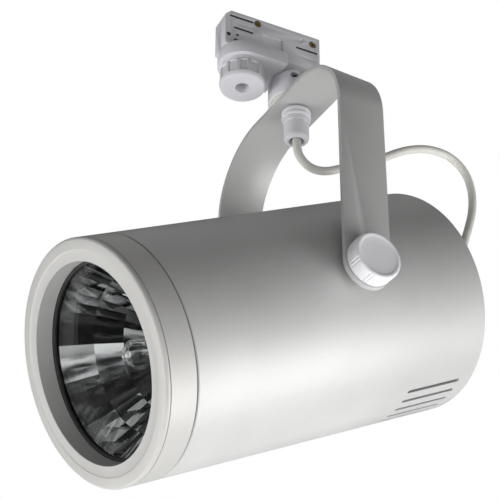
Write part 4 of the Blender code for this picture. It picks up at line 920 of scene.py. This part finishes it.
# Reflector: high-purity aluminium, pressed into 48 columns of four flat panels on a parabola, then
# brightened and anodised. Each panel is a hair fuller at its middle, so it spreads the beam.
mirror = grained(
    "bright_anodised", (0.90, 0.90, 0.91), (0.84, 0.84, 0.86), (60.0, 900.0), (0.01, 0.07), 0.000001, 0.2, 1.0
)
facets, steps, rim_radius, neck_radius, panel_rows = 48, 4, 60.4, 14.0, 5
light_centre, rim_depth = 54.0, 18.5
focal = (-(light_centre - rim_depth) + sqrt((light_centre - rim_depth) ** 2 + rim_radius**2)) / 2
radii = [rim_radius + (neck_radius - rim_radius) * i / steps for i in range(steps + 1)]
bowl = [(radius, light_centre + focal - radius**2 / (4 * focal)) for radius in radii]
lean = pi / facets
fullness, sheet = 0.006, 0.9

def on_chord(u, radius, value, push=0.0):
    """A point on the flat of one sector: u runs across the chord and push moves it inwards."""
    return (radius * cos(lean) - push, radius * sin(lean) * (2 * u - 1), value - pivot_depth)


columns = []
for column_step in range(panel_rows + 1):
    u = column_step / panel_rows
    column = []
    for (radius_a, depth_a), (radius_b, depth_b) in zip(bowl, bowl[1:]):
        for row in range(panel_rows):
            v = row / panel_rows
            radius = radius_a + (radius_b - radius_a) * v
            push = fullness * 2 * radius * sin(lean) * 16 * u * (1 - u) * v * (1 - v)
            column.append(on_chord(u, radius, depth_a + (depth_b - depth_a) * v, push))
    neck_end = bowl[-1][1] + 6.0
    column += [
        on_chord(u, *bowl[-1]), on_chord(u, neck_radius, neck_end), on_chord(u, neck_radius + sheet, neck_end)
    ]
    column += [on_chord(u, radius + sheet, value + sheet / 2) for radius, value in reversed(bowl)]
    column.append(on_chord(u, rim_radius + sheet, rim_depth))
    columns.append(column)
reflector = repeated("faceted_reflector", skin_over(columns), facets, 360.0 / facets, 0.0, mirror)
finish_piece(reflector, head_frame, mirror, 0.0, 3.4)
belongs(reflector, "head", "anodised_mirror_aluminium", "reflector")


# Lamp: a single-ended discharge lamp. A clear glass bulb is cemented into a ceramic base with two
# pins; inside it stands a small arc tube on its lead wires, with one return wire beside it.
lamp_clear = see_through("lamp_glass_clear", 90.0, (0.0, 0.015), (0.99, 0.99, 0.99))
bulb_outer = [(10.5 * sin(radians(a)), 37.0 - 10.5 * cos(radians(a))) for a in range(0, 91, 6)]
bulb_inner = [(9.5 * sin(radians(a)), 37.0 - 9.5 * cos(radians(a))) for a in range(0, 91, 6)]
bulb_section = behind_face([*bulb_outer, (10.5, 85.7), (9.5, 85.7), *reversed(bulb_inner)])
bulb = as_object("lamp_bulb", spun(bulb_section, 96, False))
finish_piece(bulb, head_frame, lamp_clear, 0.0, 45.0)
belongs(bulb, "head", "lamp_glass", "lamp_envelope")
arc_ceramic = grained(
    "arc_ceramic", (0.85, 0.83, 0.78), (0.74, 0.71, 0.65), (300.0, 2500.0), (0.25, 0.4), 0.00001, 0.3
)
burner_section = [(0.0, 39.0), (0.5, 39.0), (0.5, 42.0), (1.4, 42.4), (1.4, 46.6)]
burner_section += [
    (1.4 + 2.8 * sin(radians(a)), 49.4 - 2.8 * cos(radians(a))) for a in range(10, 91, 16)
]
burner_section += [
    (1.4 + 2.8 * cos(radians(a)), 58.6 + 2.8 * sin(radians(a))) for a in range(0, 81, 16)
]
burner_section += [(1.4, 61.6), (1.4, 66.0), (0.6, 66.6), (0.6, 85.7), (0.0, 85.7)]
burner = as_object("arc_tube", spun(behind_face(burner_section), 48, False))
cut(burner, rod(0.5, 41.0 - pivot_depth, 85.7 - pivot_depth, "Z", (5.6, 0.0), 16), "UNION")
cut(burner, rod(0.45, -0.4, 5.9, "X", (0.0, 41.0 - pivot_depth), 16), "UNION")
finish_piece(burner, head_frame, arc_ceramic, 0.0, 40.0)
belongs(burner, "head", "lamp_burner_ceramic", "lamp_burner")
steatite = grained(
    "steatite_body", (0.82, 0.80, 0.74), (0.75, 0.72, 0.66), (90.0, 1600.0), (0.5, 0.7), 0.00003, 0.3
)
eased_copy("lamp_base", "lamp_foot", 0.3, steatite, "head", "steatite")
eased_copy("lamp_holder", "lamp_socket", 0.4, steatite, "head", "steatite")


# Rear cap: a pressed aluminium disc let 2 mm into the tube, sprayed with it, with twelve radial vent
# slots. Three pan-head screws hold it to the end ring, and a silicone bush guards the lead.
cap_section = behind_face([
    (0.0, 252.0), (72.2, 252.0), (72.6, 252.4), (72.6, 254.4), (72.4, 254.8), (72.0, 255.0), (0.0, 255.0),
])
rear_cap = as_object("vented_cap", spun(cap_section, 160, False))
slot_ends = [((34.0, 0.0), 90.0), ((56.0, 0.0), 270.0)]
slot_levels = (251.0 - pivot_depth, 256.0 - pivot_depth)
cut(rear_cap, ring_of_slots(slot_ends, 1.6, slot_levels, lambda level, x, y: (x, y, level), 12, 30.0, 15.0))
through_cap = (88.0, 96.0)
cut(rear_cap, rod(5.6, *through_cap, sides=64))
cap_screw_circle = 68.3
for angle in (30.0, 150.0, 270.0):
    screw_at = (cap_screw_circle * cos(radians(angle)), cap_screw_circle * sin(radians(angle)))
    cut(rear_cap, rod(1.9, *through_cap, "Z", screw_at, 24))
finish_piece(rear_cap, head_frame, satin_silver, 0.25, 28.0)
belongs(rear_cap, "head", "satin_silver_paint", "rear_cap")
pan_head = behind_face([
    (0.0, 256.9), (1.6, 256.85), (2.6, 256.5), (3.2, 256.0), (3.4, 255.5), (3.4, 255.3), (1.6, 255.3),
    (1.6, 247.4), (0.0, 245.9),
])
cap_screw = spun(pan_head, 40, False)
bmesh.ops.rotate(cap_screw, verts=cap_screw.verts, matrix=Matrix.Rotation(radians(20.0), 3, "Z"))
cap_screw_body = as_object("cap_screw_one", cap_screw)
cross_recess(cap_screw_body, 0.8, 2.0, 256.9 - pivot_depth, 1.3)
cap_screw_mesh = bmesh.new()
cap_screw_mesh.from_mesh(cap_screw_body.data)
bpy.data.objects.remove(cap_screw_body)
bmesh.ops.translate(cap_screw_mesh, verts=cap_screw_mesh.verts, vec=(cap_screw_circle, 0.0, 0.0))
cap_screws = repeated("cap_screws", cap_screw_mesh, 3, 120.0, 30.0, zinc_plate)
finish_piece(cap_screws, head_frame, zinc_plate)
belongs(cap_screws, "head", "zinc_steel", "rear_cap_screw_1", "rear_cap_screw_2", "rear_cap_screw_3")
bush_section = [
    (3.3, 248.5), (7.0, 248.5), (7.0, 251.7), (5.3, 251.7), (5.3, 255.3), (9.0, 255.3), (9.0, 257.4), (6.2, 258.2),
]
for rib in range(6):
    start = 259.6 + 3.3 * rib
    radius = 6.1 - 0.26 * rib
    bush_section += [(radius - 0.6, start), (radius - 0.6, start + 0.9), (radius, start + 1.2), (radius, start + 3.0)]
bush_section += [(4.6, 280.4), (4.5, 281.0), (3.3, 281.0)]
bush = as_object("lead_bush", spun(behind_face(bush_section), 64))
finish_piece(bush, head_frame, black_silicone)
belongs(bush, "head", "black_silicone", "cord_bush")


# Inside and between: the pieces that keep their own turned and stamped shapes take the finish of
# their metal, ceramic or moulding.
copper = grained(
    "contact_copper_worn", (0.42, 0.22, 0.13), (0.22, 0.12, 0.08), (200.0, 2200.0), (0.22, 0.4), 0.00001, 0.3, 1.0
)
gear_lacquer = grained(
    "gear_lacquer", (0.68, 0.68, 0.66), (0.60, 0.60, 0.58), (40.0, 1300.0), (0.38, 0.52), 0.00002, 0.3, 0.3
)
finishes = {
    "contact_copper": copper, "zinc_steel": zinc_plate, "natural_nylon": natural_nylon,
    "gear_case": gear_lacquer, "steatite": steatite,
}
for subpart in frame["record"]["subparts"]:
    node = frame["nodes"][subpart["node"]]
    if not node.hide_render:
        for place in node.material_slots:
            place.material = finishes[subpart["material_slot"]]
